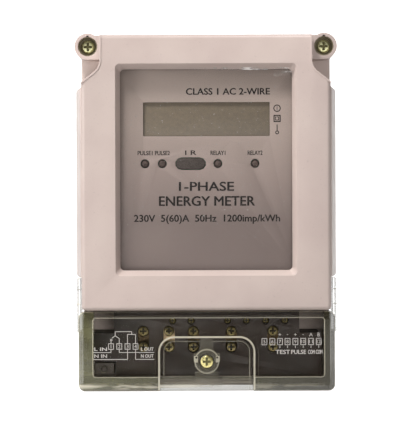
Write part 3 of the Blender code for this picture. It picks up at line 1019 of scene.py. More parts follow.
@dataclass
class Case:
    """The front cover, the base, their gasket, screws and hanger."""

    fitter: Fitter
    cover: Span = field(default_factory=lambda: Span.of("front_cover"))
    half_width: float = 57.0
    top: float = 80.0
    draft: float = 1.15
    face_round: float = 1.9
    wall: float = 2.4
    cavity_half_width: float = 54.2
    cavity_front: float = -55.4
    cavity_top: float = 77.4
    bezel: tuple[float, float, float] = (43.5, -30.8, 69.4)
    bezel_depth: tuple[float, float] = (-55.8, -53.5)
    window: tuple[float, float, float] = (40.65, -28.2, 66.8)
    throat: tuple[float, float, float] = (38.6, -25.8, 64.4)
    throat_y: float = -54.2
    relief_centre: tuple[float, float] = (53.6, 68.1)
    relief_radius: float = 6.0
    relief_turn: float = 52.0
    relief_y: float = -30.0
    ear_x: float = 53.5
    ear_z: float = 75.4
    ear_radius: float = 5.9
    ear_y: float = -44.0
    ear_block: tuple[float, float, float] = (45.5, 69.5, 80.4)
    seat_y: float = -38.0
    well_radius: float = 4.4
    screw_way: float = 1.9
    pad_heights: tuple[float, float] = (-29.3, 57.0)
    pad_face: float = -56.4
    pad_taper: float = 3.5
    lug_pad: tuple[Place, Place] = ((41.9, -15.9, -54.0), (54.8, -13.0, -45.8))
    pocket_sides: tuple[float, float] = (15.0, 51.0)
    pocket_heights: tuple[tuple[float, float], ...] = ((-34.0, -4.0), (0.0, 30.0), (34.0, 64.0))

    def relief(self, sign: int, wall: float, back: float, front: float = -66.0) -> Piece:
        """A corner relief as a solid.

        Args:
            sign: -1 on the left, 1 on the right.
            wall: how much it grows inwards.
            back: Y of its floor.
            front: Y of its front.

        Returns:
            The solid: upright inside, slanting out and down below, and rounded between the two.
        """
        radius = self.relief_radius + wall
        inner, outer = (self.relief_centre[0] - radius) * sign, 66.0 * sign
        tangent = radius * math.tan(math.radians(self.relief_turn / 2))
        low = self.relief_centre[1] - tangent
        piece = Bench.block("relief", (min(inner, outer), front, low), (max(inner, outer), back, 95.0))

        def low_edge_at(x: float) -> Callable[[bmesh.types.BMEdge], bool]:
            """A test for the lower edge at an X."""
            return lambda edge: all(
                abs(vert.co.x / MM - x) < 0.01 and abs(vert.co.z / MM - low) < 0.01 for vert in edge.verts
            )

        drop = abs(outer - inner) * math.tan(math.radians(90.0 - self.relief_turn))
        Bench.pick(piece, "EDGE", low_edge_at(outer))
        bpy.ops.transform.translate(value=(0, 0, -drop * MM))
        bpy.ops.object.mode_set(mode="OBJECT")
        Bench.round_edges(piece, low_edge_at(inner), tangent, 16)
        return piece

    def relief_bead(self, sign: int) -> Piece:
        """The fine raised rim that follows a relief's edge on the face."""
        face = self.cover.low[1]
        bead = self.relief(sign, 0.75, face + 1.0, face - 0.3)
        sides = sorted((30.0 * sign, (self.half_width - self.draft) * sign))
        limit = Bench.block("bead_limit", (sides[0], -70.0, 40.0), (sides[1], 0.0, self.top - 0.6))
        Bench.combine(bead, "INTERSECT", limit)
        Bench.cut(bead, self.relief(sign, 0.0, 0.0))
        return bead

    def ear(self, sign: int, back: float, front: float) -> list[Piece]:
        """A screw ear and the block that joins it to the case.

        Args:
            sign: -1 on the left, 1 on the right.
            back: Y of its rear end.
            front: Y of its front end.

        Returns:
            The round boss and the block.
        """
        boss = Bench.rod("ear", self.ear_x * sign, self.ear_z, self.ear_radius, back, front, 64)
        inner, low, high = self.ear_block
        sides = sorted((inner * sign, self.ear_x * sign))
        return [boss, Bench.block("ear_block", (sides[0], front, low), (sides[1], back, high))]

    def side_pad(self, sign: int) -> Piece:
        """The thicker stretch of a side wall, which tapers to nothing at the face."""
        rim = self.cover.high[Axis.Y.value]
        sides = sorted((52.0 * sign, self.cover.high[0] * sign))
        low, high = self.pad_heights
        pad = Bench.block("side_pad", (sides[0], self.pad_face, low), (sides[1], rim, high))
        outer, runs_back = towards(Axis.X, sign), along(Axis.Y)

        def front_corner(edge: bmesh.types.BMEdge) -> bool:
            """Says whether an edge is the outer one at the front."""
            return all(vert.co.y < -50 * MM and vert.co.x * sign > 55 * MM for vert in edge.verts)

        def rim_edge(edge: bmesh.types.BMEdge) -> bool:
            """Says whether an edge runs back, or lies level on the outer side."""
            level = abs(edge.verts[0].co.z - edge.verts[1].co.z) < 1e-5
            return runs_back(edge) or level and any(outer(face) for face in edge.link_faces)

        Bench.pick(pad, "EDGE", front_corner)
        bpy.ops.transform.translate(value=(-self.pad_taper * sign * MM, 0, 0))
        bpy.ops.object.mode_set(mode="OBJECT")
        Bench.round_edges(pad, rim_edge, 1.4, 4)
        return pad

    def drafted_shell(self) -> Piece:
        """The cover's outer block, narrower at its face, with its face and upright corners rounded."""
        rim, face, foot = self.cover.high[1], self.cover.low[1], self.cover.low[2]
        shell = Bench.block("cover_shell", (-self.half_width, face, foot), (self.half_width, rim, self.top))
        height = self.top - foot
        Bench.taper(shell, towards(Axis.Y, -1), 1 - self.draft / self.half_width, 1 - 0.5 / height)
        on_face = at_front(face)

        def corner(edge: bmesh.types.BMEdge) -> bool:
            """Says whether an edge bounds the face or runs back from one of its corners."""
            first, second = (vert.co for vert in edge.verts)
            beside = min(abs(first.x), abs(second.x)) > 50 * MM
            return on_face(edge) or beside and abs(first.y - second.y) > 20 * MM

        Bench.round_edges(shell, corner, self.face_round, 6)
        return shell

    def make_cover(self) -> None:
        """Models the front cover: drafted shell, reliefs, ears, pads, framed window and screw wells."""
        rim, foot = self.cover.high[1], self.cover.low[2]
        shell = self.drafted_shell()
        for sign in (-1, 1):
            Bench.cut(shell, self.relief(sign, 0.0, self.relief_y))
            Bench.weld(shell, *self.ear(sign, rim, self.ear_y), self.side_pad(sign), self.relief_bead(sign))
        half = self.cavity_half_width
        cavity = Bench.block(
            "cavity", (-half, self.cavity_front, foot + self.wall), (half, -20.0, self.cavity_top)
        )
        for sign in (-1, 1):
            Bench.cut(cavity, self.relief(sign, self.wall, 0.0))
        Bench.cut(shell, cavity)
        side, low, high = self.bezel
        front, back = self.bezel_depth
        Bench.weld(shell, Bench.block("bezel", (-side, front, low), (side, back, high)))
        Bench.cut(shell, self.window_tool())
        for sign in (-1, 1):
            x = self.ear_x * sign
            Bench.cut(shell, Bench.rod("well", x, self.ear_z, self.well_radius, self.seat_y, -46.0, 64))
            Bench.cut(shell, Bench.rod("well_notch", x, self.ear_z + 4.3, 0.7, self.seat_y, -46.0, 16))
            Bench.cut(shell, Bench.rod("screw_way", x, self.ear_z, self.screw_way, -20.0, -39.0, 32))
        Bench.soften(shell, 0.32, 3)
        self.fitter.fit(shell, "root", "case_cream", Slot.CASE, "front_cover")

    def window_tool(self) -> Piece:
        """The window's opening, whose four walls slope in to the throat."""
        side, low, high = self.window
        inner, inner_low, inner_high = self.throat
        tool = Bench.block("window_tool", (-side, self.cover.low[1], low), (side, self.throat_y, high))
        Bench.round_edges(tool, along(Axis.Y), 2.0, 6)
        across, up = inner / side, (inner_high - inner_low) / (high - low)
        Bench.taper(tool, towards(Axis.Y, 1), across, up)
        for sign, depth in ((-1, -3.0), (1, 6.0)):
            Bench.pick(tool, "FACE", towards(Axis.Y, sign))
            bpy.ops.mesh.extrude_region_move(TRANSFORM_OT_translate={"value": (0, depth * MM, 0)})
            bpy.ops.object.mode_set(mode="OBJECT")
        return tool

    def make_base(self) -> None:
        """Finishes the base from its CAD shape, with pads by its lugs and pockets in its rear face."""
        base = Bench.recast("base", "base_tray", 0.4, 3)
        (near, front, foot), (far, back, head) = self.lug_pad
        for sign in (-1, 1):
            sides = sorted((near * sign, far * sign))
            Bench.weld(base, Bench.block("lug_pad", (sides[0], front, foot), (sides[1], back, head)))
            sides = sorted(side * sign for side in self.pocket_sides)
            for low, high in self.pocket_heights:
                pocket = Bench.block("rear_pocket", (sides[0], -0.9, low), (sides[1], 1.0, high))
                Bench.round_edges(pocket, along(Axis.Y), 2.5, 5)
                Bench.cut(base, pocket)
        Bench.smooth(base)
        self.fitter.fit(base, "root", "base_grey", Slot.BASE, "base")

    def line_well(self, name: str, x: float) -> None:
        """Puts a dark tube on a screw well's wall: painted shade where the deep well lies in shadow.

        Args:
            name: its side, left or right.
            x: its axis.
        """
        floor, radius = self.seat_y - 0.02, self.well_radius
        # A dark tube on the well's wall, painted shade for the deep well's shadow.
        shade_liner = Bench.rod(f"well_shade_liner_{name}", x, self.ear_z, radius - 0.04, floor, self.ear_y + 0.5, 64)
        Bench.cut(shade_liner, Bench.rod("shade_liner_bore", x, self.ear_z, radius - 0.35, floor - 0.2, -60.0, 64))
        Bench.cut(shade_liner, Bench.rod("shade_liner_way", x, self.ear_z, self.screw_way + 0.1, -20.0, -50.0, 32))
        Bench.soften(shade_liner, 0.1, 2)
        self.fitter.fit(shade_liner, "root", "well_shade", Slot.DARK)

    def make_small_parts(self) -> None:
        """Dresses the gasket and the hanger, turns the case screws and puts painted shade in their wells."""
        self.fitter.repaint("case_gasket", "gasket_rubber")
        tab = Bench.recast("hanger", "hanger_tab", 0.25, 2)
        self.fitter.fit(tab, "hanger", "steel_plated", Slot.STEEL, "hanger")
        screw = Screw("case_screw", 3.0, 2.3, 1.6, 27.0).make((self.ear_x, self.seat_y - 0.3, self.ear_z))
        other = Bench.copy(screw, "case_screw_other", (-2 * self.ear_x, 0, 0))
        for piece, node in ((screw, "case_screw_right"), (other, "case_screw_left")):
            self.fitter.fit(piece, "root", "zinc_yellow", Slot.BRASS, node, inner="recess_shade_olive")
        self.line_well("left", -self.ear_x)
        self.line_well("right", self.ear_x)

    def build(self) -> None:
        """Builds the case."""
        self.make_cover()
        self.make_base()
        self.make_small_parts()


@dataclass
class Screw:
    """A cross-recessed machine screw along Y, its head towards the front."""

    name: str
    head_radius: float
    head_length: float
    shank_radius: float
    shank_length: float
    pitch: float = 0.7
    recess: float = 0.7

    def make(self, seat: Place) -> Piece:
        """Turns the screw and cuts its recess.

        Args:
            seat: the middle of the head's rear face.

        Returns:
            The screw.
        """
        radius, length = self.head_radius, self.head_length
        profile = [(radius * 0.6, -length), (radius * 0.86, -length * 0.95), (radius * 0.97, -length * 0.82)]
        profile += [(radius, -length * 0.6), (radius, -0.12), (radius * 0.96, 0.0), (self.shank_radius, 0.0)]
        y = 0.4
        root = self.shank_radius - self.pitch * 0.45
        while y + self.pitch < self.shank_length - 0.4:
            profile += [(root, y), (self.shank_radius, y + self.pitch / 2)]
            y += self.pitch
        profile += [(root, self.shank_length - 0.3), (root * 0.6, self.shank_length)]
        screw = Bench.turned(self.name, seat, profile, 32)
        screw.data.materials.append(None)
        screw.data.materials.append(None)
        x, y, z = seat
        for across, up in ((self.recess, 0.2), (0.2, self.recess)):
            low = (x - across * radius, y - length - 0.5, z - up * radius)
            high = (x + across * radius, y - length * 0.38, z + up * radius)
            recess = Bench.block("recess", low, high)
            recess.data.materials.append(None)
            recess.data.materials.append(None)
            # The recess faces take the second slot, whose finish is painted shade.
            for face in recess.data.polygons:
                face.material_index = 1
            Bench.taper(recess, towards(Axis.Y, 1), 0.66, 0.66)
            Bench.cut(screw, recess)
        Bench.smooth(screw, 40.0)
        return screw


# --------------------------------------------------------------------------------------------- window


@dataclass
class Printing:
    """Flat ink shapes on a plane that faces the front."""

    y: float
    thickness: float = 0.03
    pieces: list[Piece] = field(default_factory=list)

    def text(
        self, words: str, x: float, z: float, height: float, width: float | None = None, strike: float = 0.0
    ) -> None:
        """Prints words, centred on a place.

        Args:
            words: what to print.
            x: the middle across.
            z: the middle up.
            height: the height of its capitals.
            width: the whole line's width, or None for the font's own.
            strike: how far apart it is printed again, for a bolder line.
        """
        Bench.clear()
        bpy.ops.object.text_add(location=(0, 0, 0))
        line = bpy.context.active_object
        line.data.body = words
        line.data.size = height / 0.7 * MM
        line.data.resolution_u = 3
        line.data.align_x, line.data.align_y = "CENTER", "CENTER"
        line.data.extrude = self.thickness / 2 * MM
        bpy.ops.object.convert(target="MESH")
        line = bpy.context.active_object
        bpy.context.view_layer.update()
        corners = [Vector(corner) for corner in line.bound_box]
        wide = max(c.x for c in corners) - min(c.x for c in corners)
        middle = [(max(c[k] for c in corners) + min(c[k] for c in corners)) / 2 for k in range(2)]
        squeeze = width * MM / wide if width else 1.0
        line.scale = (squeeze, 1, 1)
        line.rotation_euler = (math.pi / 2, 0, 0)
        line.location = (x * MM - middle[0] * squeeze, self.y * MM, z * MM - middle[1])
        first = Bench.settle("line")
        self.pieces.append(first)
        if strike:
            self.pieces.append(Bench.copy(first, "line_again", (strike, -0.004, 0.0)))
            self.pieces.append(Bench.copy(first, "line_bolder", (strike / 2, -0.008, strike / 2)))

    def bar(self, left: float, right: float, low: float, high: float) -> None:
        """Prints a filled rectangle."""
        front = self.y - self.thickness / 2
        self.pieces.append(Bench.block("bar", (left, front, low), (right, front + self.thickness, high)))

    def line(self, start: tuple[float, float], end: tuple[float, float], width: float) -> None:
        """Prints a straight stroke between two places, each (x, z)."""
        reach = math.dist(start, end)
        front = self.y - self.thickness / 2
        stroke = Bench.block(
            "stroke", (-reach / 2, front, -width / 2), (reach / 2, front + self.thickness, width / 2)
        )
        stroke.rotation_euler = (0, -math.atan2(end[1] - start[1], end[0] - start[0]), 0)
        stroke.location = ((start[0] + end[0]) / 2 * MM, 0, (start[1] + end[1]) / 2 * MM)
        Bench.take(stroke)
        self.pieces.append(Bench.settle("stroke"))

    def outline(self, x: float, z: float, width: float, height: float, line: float) -> None:
        """Prints a rectangle's outline."""
        left, right, low, high = x - width / 2, x + width / 2, z - height / 2, z + height / 2
        self.bar(left, right, high - line, high)
        self.bar(left, right, low, low + line)
        self.bar(left, left + line, low, high)
        self.bar(right - line, right, low, high)

    def ring(self, x: float, z: float, radius: float, line: float) -> None:
        """Prints a circle's outline."""
        Bench.clear()
        bpy.ops.mesh.primitive_torus_add(
            location=(x * MM, self.y * MM, z * MM),
            rotation=(math.pi / 2, 0, 0),
            major_radius=(radius - line / 2) * MM,
            minor_radius=line / 2 * MM,
            major_segments=32,
            minor_segments=6,
        )
        bpy.context.active_object.scale = (1, 1, self.thickness / line)
        self.pieces.append(Bench.settle("ring"))

    def done(self, name: str) -> Piece:
        """Joins all that was printed."""
        return Bench.join(name, self.pieces)


@dataclass
class Face:
    """What shows in the window: pane, nameplate with its printing, display and lamps."""

    fitter: Fitter
    plate: Span = field(default_factory=lambda: Span.of("nameplate"))
    headings: tuple[tuple[str, float, float, float, float, float], ...] = (
        ("CLASS 1 AC 2-WIRE", 9.8, 54.5, 2.9, 37.6, 0.24),
        ("1-PHASE", 0.0, 11.8, 4.0, 24.6, 0.3),
        ("ENERGY METER", 0.2, 5.2, 4.3, 43.0, 0.32),
        ("230V  5(60)A  50Hz  1200imp/kWh", 0.2, -3.0, 3.1, 65.6, 0.24),
    )
    symbols_x: float = 32.0
    film_y: float = -55.2
    film_strips: tuple[tuple[float, float, float, float, float], ...] = (
        (15.5, 64.9, 46.0, 2.0, -0.5),
        (34.6, 62.6, 8.4, 2.6, -9.0),
    )
    lamps: dict[str, str] = field(
        default_factory=lambda: {
            "pulse_lamp_1": "PULSE1",
            "pulse_lamp_2": "PULSE2",
            "relay_lamp_1": "RELAY1",
            "relay_lamp_2": "RELAY2",
        }
    )

    def print_plate(self) -> None:
        """Prints the nameplate's lines, lamp labels and the three symbols beside the display."""
        ink = Printing(self.plate.low[1] - 0.04)
        for heading in self.headings:
            ink.text(*heading)
        for lamp, words in self.lamps.items():
            centre = Span.of(lamp).centre
            ink.text(words, centre[0], centre[2] + 4.8, 1.9, 6.6, 0.12)
        centre = Span.of("infrared_filter").centre
        ink.text("I R", centre[0], centre[2] + 4.9, 2.0, 5.0, 0.14)
        x = self.symbols_x
        ink.ring(x, 46.9, 1.65, 0.42)
        ink.text("1", x, 46.9, 1.9)
        ink.outline(x, 42.3, 3.2, 3.2, 0.45)
        ink.outline(x, 42.3, 1.7, 1.7, 0.3)
        ink.ring(x, 36.0, 0.85, 0.4)
        ink.bar(x - 0.2, x + 0.2, 36.7, 39.6)
        self.fitter.fit(ink.done("nameplate_printing"), "root", "ink_dark", Slot.NAMEPLATE)

    def make_lamps(self) -> None:
        """Turns each lamp's lens, a round stem with a domed tip, and rounds the infrared filter."""
        for lamp in self.lamps:
            span = Span.of(lamp)
            x, _, z = span.centre
            back, tip = span.high[1], span.low[1] - span.high[1]
            profile = [(1.75, 0.0), (1.75, tip + 1.6), (1.6, tip + 0.9), (1.2, tip + 0.35)]
            profile += [(0.6, tip + 0.06), (0.15, tip)]
            lens = Bench.turned(f"{lamp}_lens", (x, back, z), profile, 28)
            Bench.smooth(lens, 60.0)
            self.fitter.fit(lens, "root", "lamp_dark", Slot.LAMP, lamp)
        window = Bench.recast("infrared_filter", "infrared_window", 0.3, 3)
        self.fitter.fit(window, "root", "infrared_dark", Slot.INFRARED, "infrared_filter")

    def make_film(self) -> None:
        """Crumples the loose edge of the protective film that lies along the window's top."""
        strips = []
        for x, z, width, height, turn in self.film_strips:
            Bench.clear()
            bpy.ops.mesh.primitive_grid_add(x_subdivisions=90, y_subdivisions=14, size=1.0)
            strip = bpy.context.active_object
            strip.scale = (width * MM, height * MM, 1.0)
            strip.rotation_euler = (math.pi / 2, math.radians(turn), 0)
            strip.location = (x * MM, self.film_y * MM, z * MM)
            Bench.take(strip)
            bpy.ops.object.transform_apply(location=True, rotation=True, scale=True)
            creases = bpy.data.textures.new("creases", "CLOUDS")
            creases.noise_scale = 3.0 * MM
            for direction, strength in (("Y", 1.1 * MM), ("Z", 0.7 * MM)):
                Bench.modify(
                    strip,
                    "DISPLACE",
                    texture=creases,
                    strength=strength,
                    texture_coords="GLOBAL",
                    direction=direction,
                )
            strips.append(strip)
        film = Bench.join("window_film", strips)
        Bench.smooth(film, 80.0)
        self.fitter.fit(film, "root", "film_creased", Slot.CLEAR)

    def build(self) -> None:
        """Builds the face."""
        self.fitter.repaint("window_pane", "pane_clear")
        plate = Bench.recast("nameplate", "nameplate_sheet", 0.12, 2)
        self.fitter.fit(plate, "root", "nameplate_satin", Slot.NAMEPLATE, "nameplate")
        self.print_plate()
        glass = Bench.recast("lcd_panel", "display_glass", 0.2, 2)
        self.fitter.fit(glass, "root", "display_olive", Slot.DISPLAY, "lcd_panel")
        self.fitter.repaint("face_frame", "dark_frame")
        self.make_lamps()
        self.make_film()


# ------------------------------------------------------------------------------------------ terminals


@dataclass
class Terminals:
    """The terminal block, its cages, plates and clamping screws."""

    fitter: Fitter
    mains: int = 5
    auxiliaries: int = 6
    bright_cage: int = 2
    lug_room: tuple[Place, Place] = ((41.8, -50.0, -54.3), (56.0, 1.0, -52.0))
    block_tab: tuple[Place, Place] = ((40.0, -47.9, -73.4), (43.7, -44.0, -72.4))

    def make_mains(self) -> None:
        """Finishes each main cage and plate, and turns its two screws."""
        model: Piece | None = None
        home = (0.0, 0.0, 0.0)
        for number in range(1, self.mains + 1):
            cage = Bench.recast(f"main_cage_{number}", f"main_clamp_{number}", 0.3, 2)
            # One cage takes the lighter brass as a painted highlight, the rest the plain cage brass.
            finish = "brass_lit" if number == self.bright_cage else "brass_dull"
            self.fitter.fit(cage, "root", finish, Slot.BRASS, f"main_cage_{number}")
            node = f"clamp_plate_{number}"
            plate = Bench.recast(node, f"pressure_plate_{number}", 0.2, 2)
            self.fitter.fit(plate, node, "steel_plated", Slot.STEEL, node)
            for position in ("upper", "lower"):
                node = f"{position}_screw_{number}"
                span = Span.of(node)
                x, _, z = span.centre
                seat = (x, span.low[1] + 2.0, z)
                if model is None:
                    model, home = Screw("clamp_screw_model", 2.3, 2.0, 1.5, 4.9).make(seat), seat
                move = tuple(a - b for a, b in zip(seat, home))
                screw = Bench.copy(model, f"{node}_turned", move)
                self.fitter.fit(screw, node, "brass_turned", Slot.BRASS, node, inner="recess_shade")
        bpy.data.objects.remove(model)

    def make_auxiliaries(self) -> None:
        """Finishes each auxiliary cage and turns its long screw."""
        for number in range(1, self.auxiliaries + 1):
            node = f"aux_cage_{number}"
            cage = Bench.recast(node, f"rising_cage_{number}", 0.2, 2)
            self.fitter.fit(cage, node, "brass_turned", Slot.BRASS, node)
            node = f"aux_screw_{number}"
            span = Span.of(node)
            x, _, z = span.centre
            shank = span.size(Axis.Y) - 1.5
            screw = Screw(f"{node}_turned", 1.5, 1.5, 1.0, shank, 0.9).make((x, span.low[1] + 1.5, z))
            self.fitter.fit(screw, node, "brass_turned", Slot.BRASS, node, inner="recess_shade")

    def build(self) -> None:
        """Builds the terminals."""
        block = Bench.recast("terminal_block", "block_moulding", 0.28, 2)
        Bench.weld(block, Bench.block("block_tab", *self.block_tab))
        (near, front, foot), (far, back, head) = self.lug_room
        for low, high in ((-far, -near), (near, far)):
            Bench.cut(block, Bench.block("lug_room", (low, front, foot), (high, back, head)))
        Bench.smooth(block)
        self.fitter.fit(block, "root", "block_brown", Slot.BLOCK, "terminal_block")
        self.make_mains()
        self.make_auxiliaries()
        switch = Bench.recast("tamper_switch", "tamper_switch_body", 0.3, 2)
        self.fitter.fit(switch, "root", "plunger_grey", Slot.DARK, "tamper_switch")
        self.fitter.repaint("tamper_plunger", "plunger_grey")


# ------------------------------------------------------------------------------------- terminal cover


@dataclass
class TerminalCover:
    """The clear cover over the terminals, with its stepped middle, printing, captive screw and washer."""

    fitter: Fitter
    plan: CoverPlan = CoverPlan()
    span: Span = field(default_factory=lambda: Span.of("terminal_cover"))
    top: float = -44.3
    inner_face: float = -53.3
    wall: float = 2.2
    corner: float = 3.0
    face_round: float = 1.3
    rim_line: float = 0.35
    step_round: float = 6.3
    step_back: float = -49.3
    seal_holes: tuple[float, float] = (4.7, -65.0)
    tamper_post: tuple[float, float] = (-46.2, -70.3)
    arm: tuple[float, float, float, float] = (57.3, 59.1, -54.0, -29.7)
    arm_depth: tuple[float, float] = (-42.0, -20.0)
    foot_ribs: tuple[float, ...] = (-73.8, -74.8, -76.2)
    ink_line: float = 0.28

    def step_block(self, grow: float, back: float, front: float) -> Piece:
        """The stepped middle as a solid, round at its two upper corners.

        Args:
            grow: how much it grows at its sides and top.
            back: Y of its rear.
            front: Y of its front.

        Returns:
            The solid, which reaches below the cover's foot.
        """
        half, high = self.plan.step_half_width + grow, self.plan.step_top + grow
        piece = Bench.block("step", (-half, front, self.plan.foot - 4.0), (half, back, high))
        runs_back = along(Axis.Y)
        Bench.round_edges(
            piece,
            lambda edge: runs_back(edge) and abs(edge.verts[0].co.z - high * MM) < 1e-5,
            self.step_round + grow,
            14,
        )
        return piece

    def step_line(self, outer: float, inner: float, back: float, front: float, lift: float) -> Piece:
        """A raised line that follows the step's edge.

        Args:
            outer: how far its outer edge lies outside the step.
            inner: how far its inner edge lies outside the step.
            back: Y of its rear.
            front: Y of its front.
            lift: how far above the foot it ends.

        Returns:
            The line.
        """
        line = self.step_block(outer, back, front)
        Bench.cut(line, self.step_block(inner, -40.0, -60.0))
        limit = Bench.block("line_limit", (-30.0, -60.0, self.plan.foot + lift), (30.0, -40.0, -40.0))
        Bench.combine(line, "INTERSECT", limit)
        return line

    def make_box(self) -> Piece:
        """The cover's front panel, side walls, top lip and bottom lip, before the step is let in."""
        half, low, high, face = self.plan.half_width, self.plan.foot, self.top, self.plan.face
        inner = half - self.wall
        cover = Bench.block("terminal_cover_shell", (-half, face, low), (half, self.span.high[1], high))
        Bench.round_edges(cover, along(Axis.Y), self.corner, 8)
        Bench.round_edges(cover, at_front(face), self.face_round, 6)
        room = Bench.block("room", (-inner, self.inner_face, low + 2.4), (inner, -10.0, high - 2.2))
        Bench.round_edges(room, along(Axis.Y), 1.4, 5)
        Bench.cut(cover, room)
        Bench.cut(cover, Bench.block("top_way", (-inner, -47.8, high - 3.0), (inner, -10.0, high + 1.0)))
        Bench.cut(cover, Bench.block("foot_way", (-inner, -47.0, low - 1.0), (inner, -10.0, low + 3.0)))
        return cover

    def rim_plate(self, inset: float, front: float, back: float, corner: float) -> Piece:
        """A rounded plate within the rim line.

        Args:
            inset: how far its edge lies inside the rim line's outer edge.
            front: Y of its front.
            back: Y of its rear.
            corner: the round at its corners.

        Returns:
            The plate.
        """
        middle, half = self.plan.rim_middle, self.plan.rim_half_width - inset
        low, high = self.plan.rim_foot + inset, self.plan.rim_top - inset
        plate = Bench.block("rim", (middle - half, front, low), (middle + half, back, high))
        Bench.round_edges(plate, along(Axis.Y), corner, 6)
        return plate

    def make_walls(self) -> Piece:
        """The whole cover with its rim line, and the step let into it with its bead and rib."""
        cover, face, step_face = self.make_box(), self.plan.face, self.plan.step_face
        rim = self.rim_plate(0.0, face - 0.22, face + 0.3, 1.6)
        Bench.cut(rim, self.rim_plate(self.rim_line, -60.0, -50.0, 1.3))
        Bench.weld(cover, rim)
        backing = self.step_block(self.wall, self.step_back, -53.8)
        foot_limit = Bench.block("foot_limit", (-30.0, -60.0, self.plan.foot), (30.0, -40.0, -40.0))
        Bench.combine(backing, "INTERSECT", foot_limit)
        Bench.weld(cover, backing)
        Bench.cut(cover, self.step_block(0.0, step_face, -60.0))
        Bench.weld(cover, self.step_line(0.75, -0.05, face + 0.6, face - 0.55, 0.6))
        Bench.weld(cover, self.step_line(-1.5, -1.95, step_face + 0.3, step_face - 0.35, 0.4))
        return cover

    def add_boss(self, cover: Piece) -> None:
        """Adds the screw boss with its neck, seal lugs and grip plate, and bores it.

        Args:
            cover: the cover's walls.
        """
        face, z = self.plan.step_face, self.plan.boss_z
        back = face + 1.0
        neck = Bench.block("neck", (-3.6, -53.9, z), (3.6, back, self.plan.step_top + 1.0))
        Bench.taper(neck, towards(Axis.Z, 1), 0.72, 1.0)
        Bench.weld(cover, Bench.rod("boss", 0.0, z, 5.4, back, -54.5, 56), neck)
        for sign in (-1, 1):
            sides = sorted((3.5 * sign, 5.9 * sign))
            Bench.weld(cover, Bench.block("lug", (sides[0], -54.2, z), (sides[1], back, -63.4)))
        Bench.weld(cover, Bench.block("grip", (-5.2, -53.2, -77.5), (5.2, back, -71.6)))
        Bench.cut(cover, Bench.rod("boss_well", 0.0, z, 3.4, face, -60.0, 48))
        Bench.cut(cover, Bench.rod("boss_way", 0.0, z, 1.9, -45.0, -60.0, 24))
        x, hole_z = self.seal_holes
        for sign in (-1, 1):
            Bench.cut(cover, Bench.rod("seal_hole", x * sign, hole_z, 0.5, -45.0, -60.0, 14))

    def side_arm(self, sign: int) -> Piece:
        """An arm that reaches up beside the case, with a half-round notch in its front edge."""
        near, far, low, high = self.arm
        front, back = self.arm_depth
        sides = sorted((near * sign, far * sign))
        arm = Bench.block("arm", (sides[0], front, low), (sides[1], back, high))
        notch = Bench.rod("arm_notch", 0.0, 0.0, 3.6, -4.0, 4.0, 32)
        notch.rotation_euler = (0, 0, math.pi / 2)
        notch.location = (58.0 * sign * MM, front * MM, -38.0 * MM)
        Bench.take(notch)
        bpy.ops.object.transform_apply(location=True, rotation=True, scale=True)
        Bench.cut(arm, notch)
        return arm

    def add_fittings(self, cover: Piece) -> None:
        """Adds the tamper post, the side arms and the foot ribs.

        Args:
            cover: the cover with its boss.
        """
        x, z = self.tamper_post
        Bench.weld(cover, Bench.rod("tamper_post", x, z, 1.5, -49.9, self.inner_face - 0.5, 20))
        front = self.plan.step_face - 0.35
        for sign in (-1, 1):
            Bench.weld(cover, self.side_arm(sign))
            sides = sorted((6.4 * sign, 20.2 * sign))
            for z in self.foot_ribs:
                Bench.weld(
                    cover, Bench.block("foot_rib", (sides[0], front, z - 0.2), (sides[1], -51.0, z + 0.2))
                )

    def upright(self, ink: Printing, x: float, low: float, high: float) -> None:
        """Prints a vertical line between two heights above the foot."""
        half, foot = self.ink_line / 2, self.plan.foot
        ink.bar(x - half, x + half, foot + low, foot + high)

    def level(self, ink: Printing, height: float, left: float, right: float) -> None:
        """Prints a horizontal line at a height above the foot."""
        half, z = self.ink_line / 2, self.plan.foot + height
        ink.bar(left, right, z - half, z + half)

    def print_mains(self, ink: Printing) -> None:
        """Prints how line and neutral run through terminals 1 to 4, with the switch between 1 and 2.

        Args:
            ink: the cover's printing.
        """
        foot = self.plan.foot
        first, second, third, fourth = boxes = (-42.9, -39.2, -35.5, -31.9)
        line_foot, neutral_foot, box_foot, box_top = 17.5, 14.4, 18.8, 21.6
        for number, x in enumerate(boxes, start=1):
            ink.outline(x, -59.8, 2.5, 2.8, self.ink_line)
            ink.text(str(number), x, -59.8, 1.7)
        incoming, outgoing = -50.9, -23.5
        leads = (
            (first, line_foot, incoming),
            (third, neutral_foot, incoming),
            (second, line_foot, outgoing),
            (fourth, neutral_foot, outgoing),
        )
        for x, height, end in leads:
            self.upright(ink, x, height, box_foot)
            self.level(ink, height, min(x, end), max(x, end))
        for side, x in (("IN", -47.6), ("OUT", -26.7)):
            ink.text(f"L {side}", x, foot + 19.0, 1.5, 5.6, 0.1)
            ink.text(f"N {side}", x, foot + 15.9, 1.5, 5.6, 0.1)
        self.upright(ink, -41.0, 25.0, 26.85)
        self.level(ink, 26.85, -41.0, -33.6)
        self.upright(ink, -33.6, 25.6, 26.85)
        self.level(ink, 25.6, third, fourth)
        for x, high in ((third, 25.6), (fourth, 25.6), (first, 22.6), (second, 23.8)):
            self.upright(ink, x, box_top, high)
        pivot = (-41.0, foot + 25.0)
        ink.line(pivot, (-42.5, foot + 23.9), self.ink_line)
        ink.line(pivot, (second, foot + 23.8), self.ink_line)
        ink.ring(-42.8, -56.9, 0.5, self.ink_line)

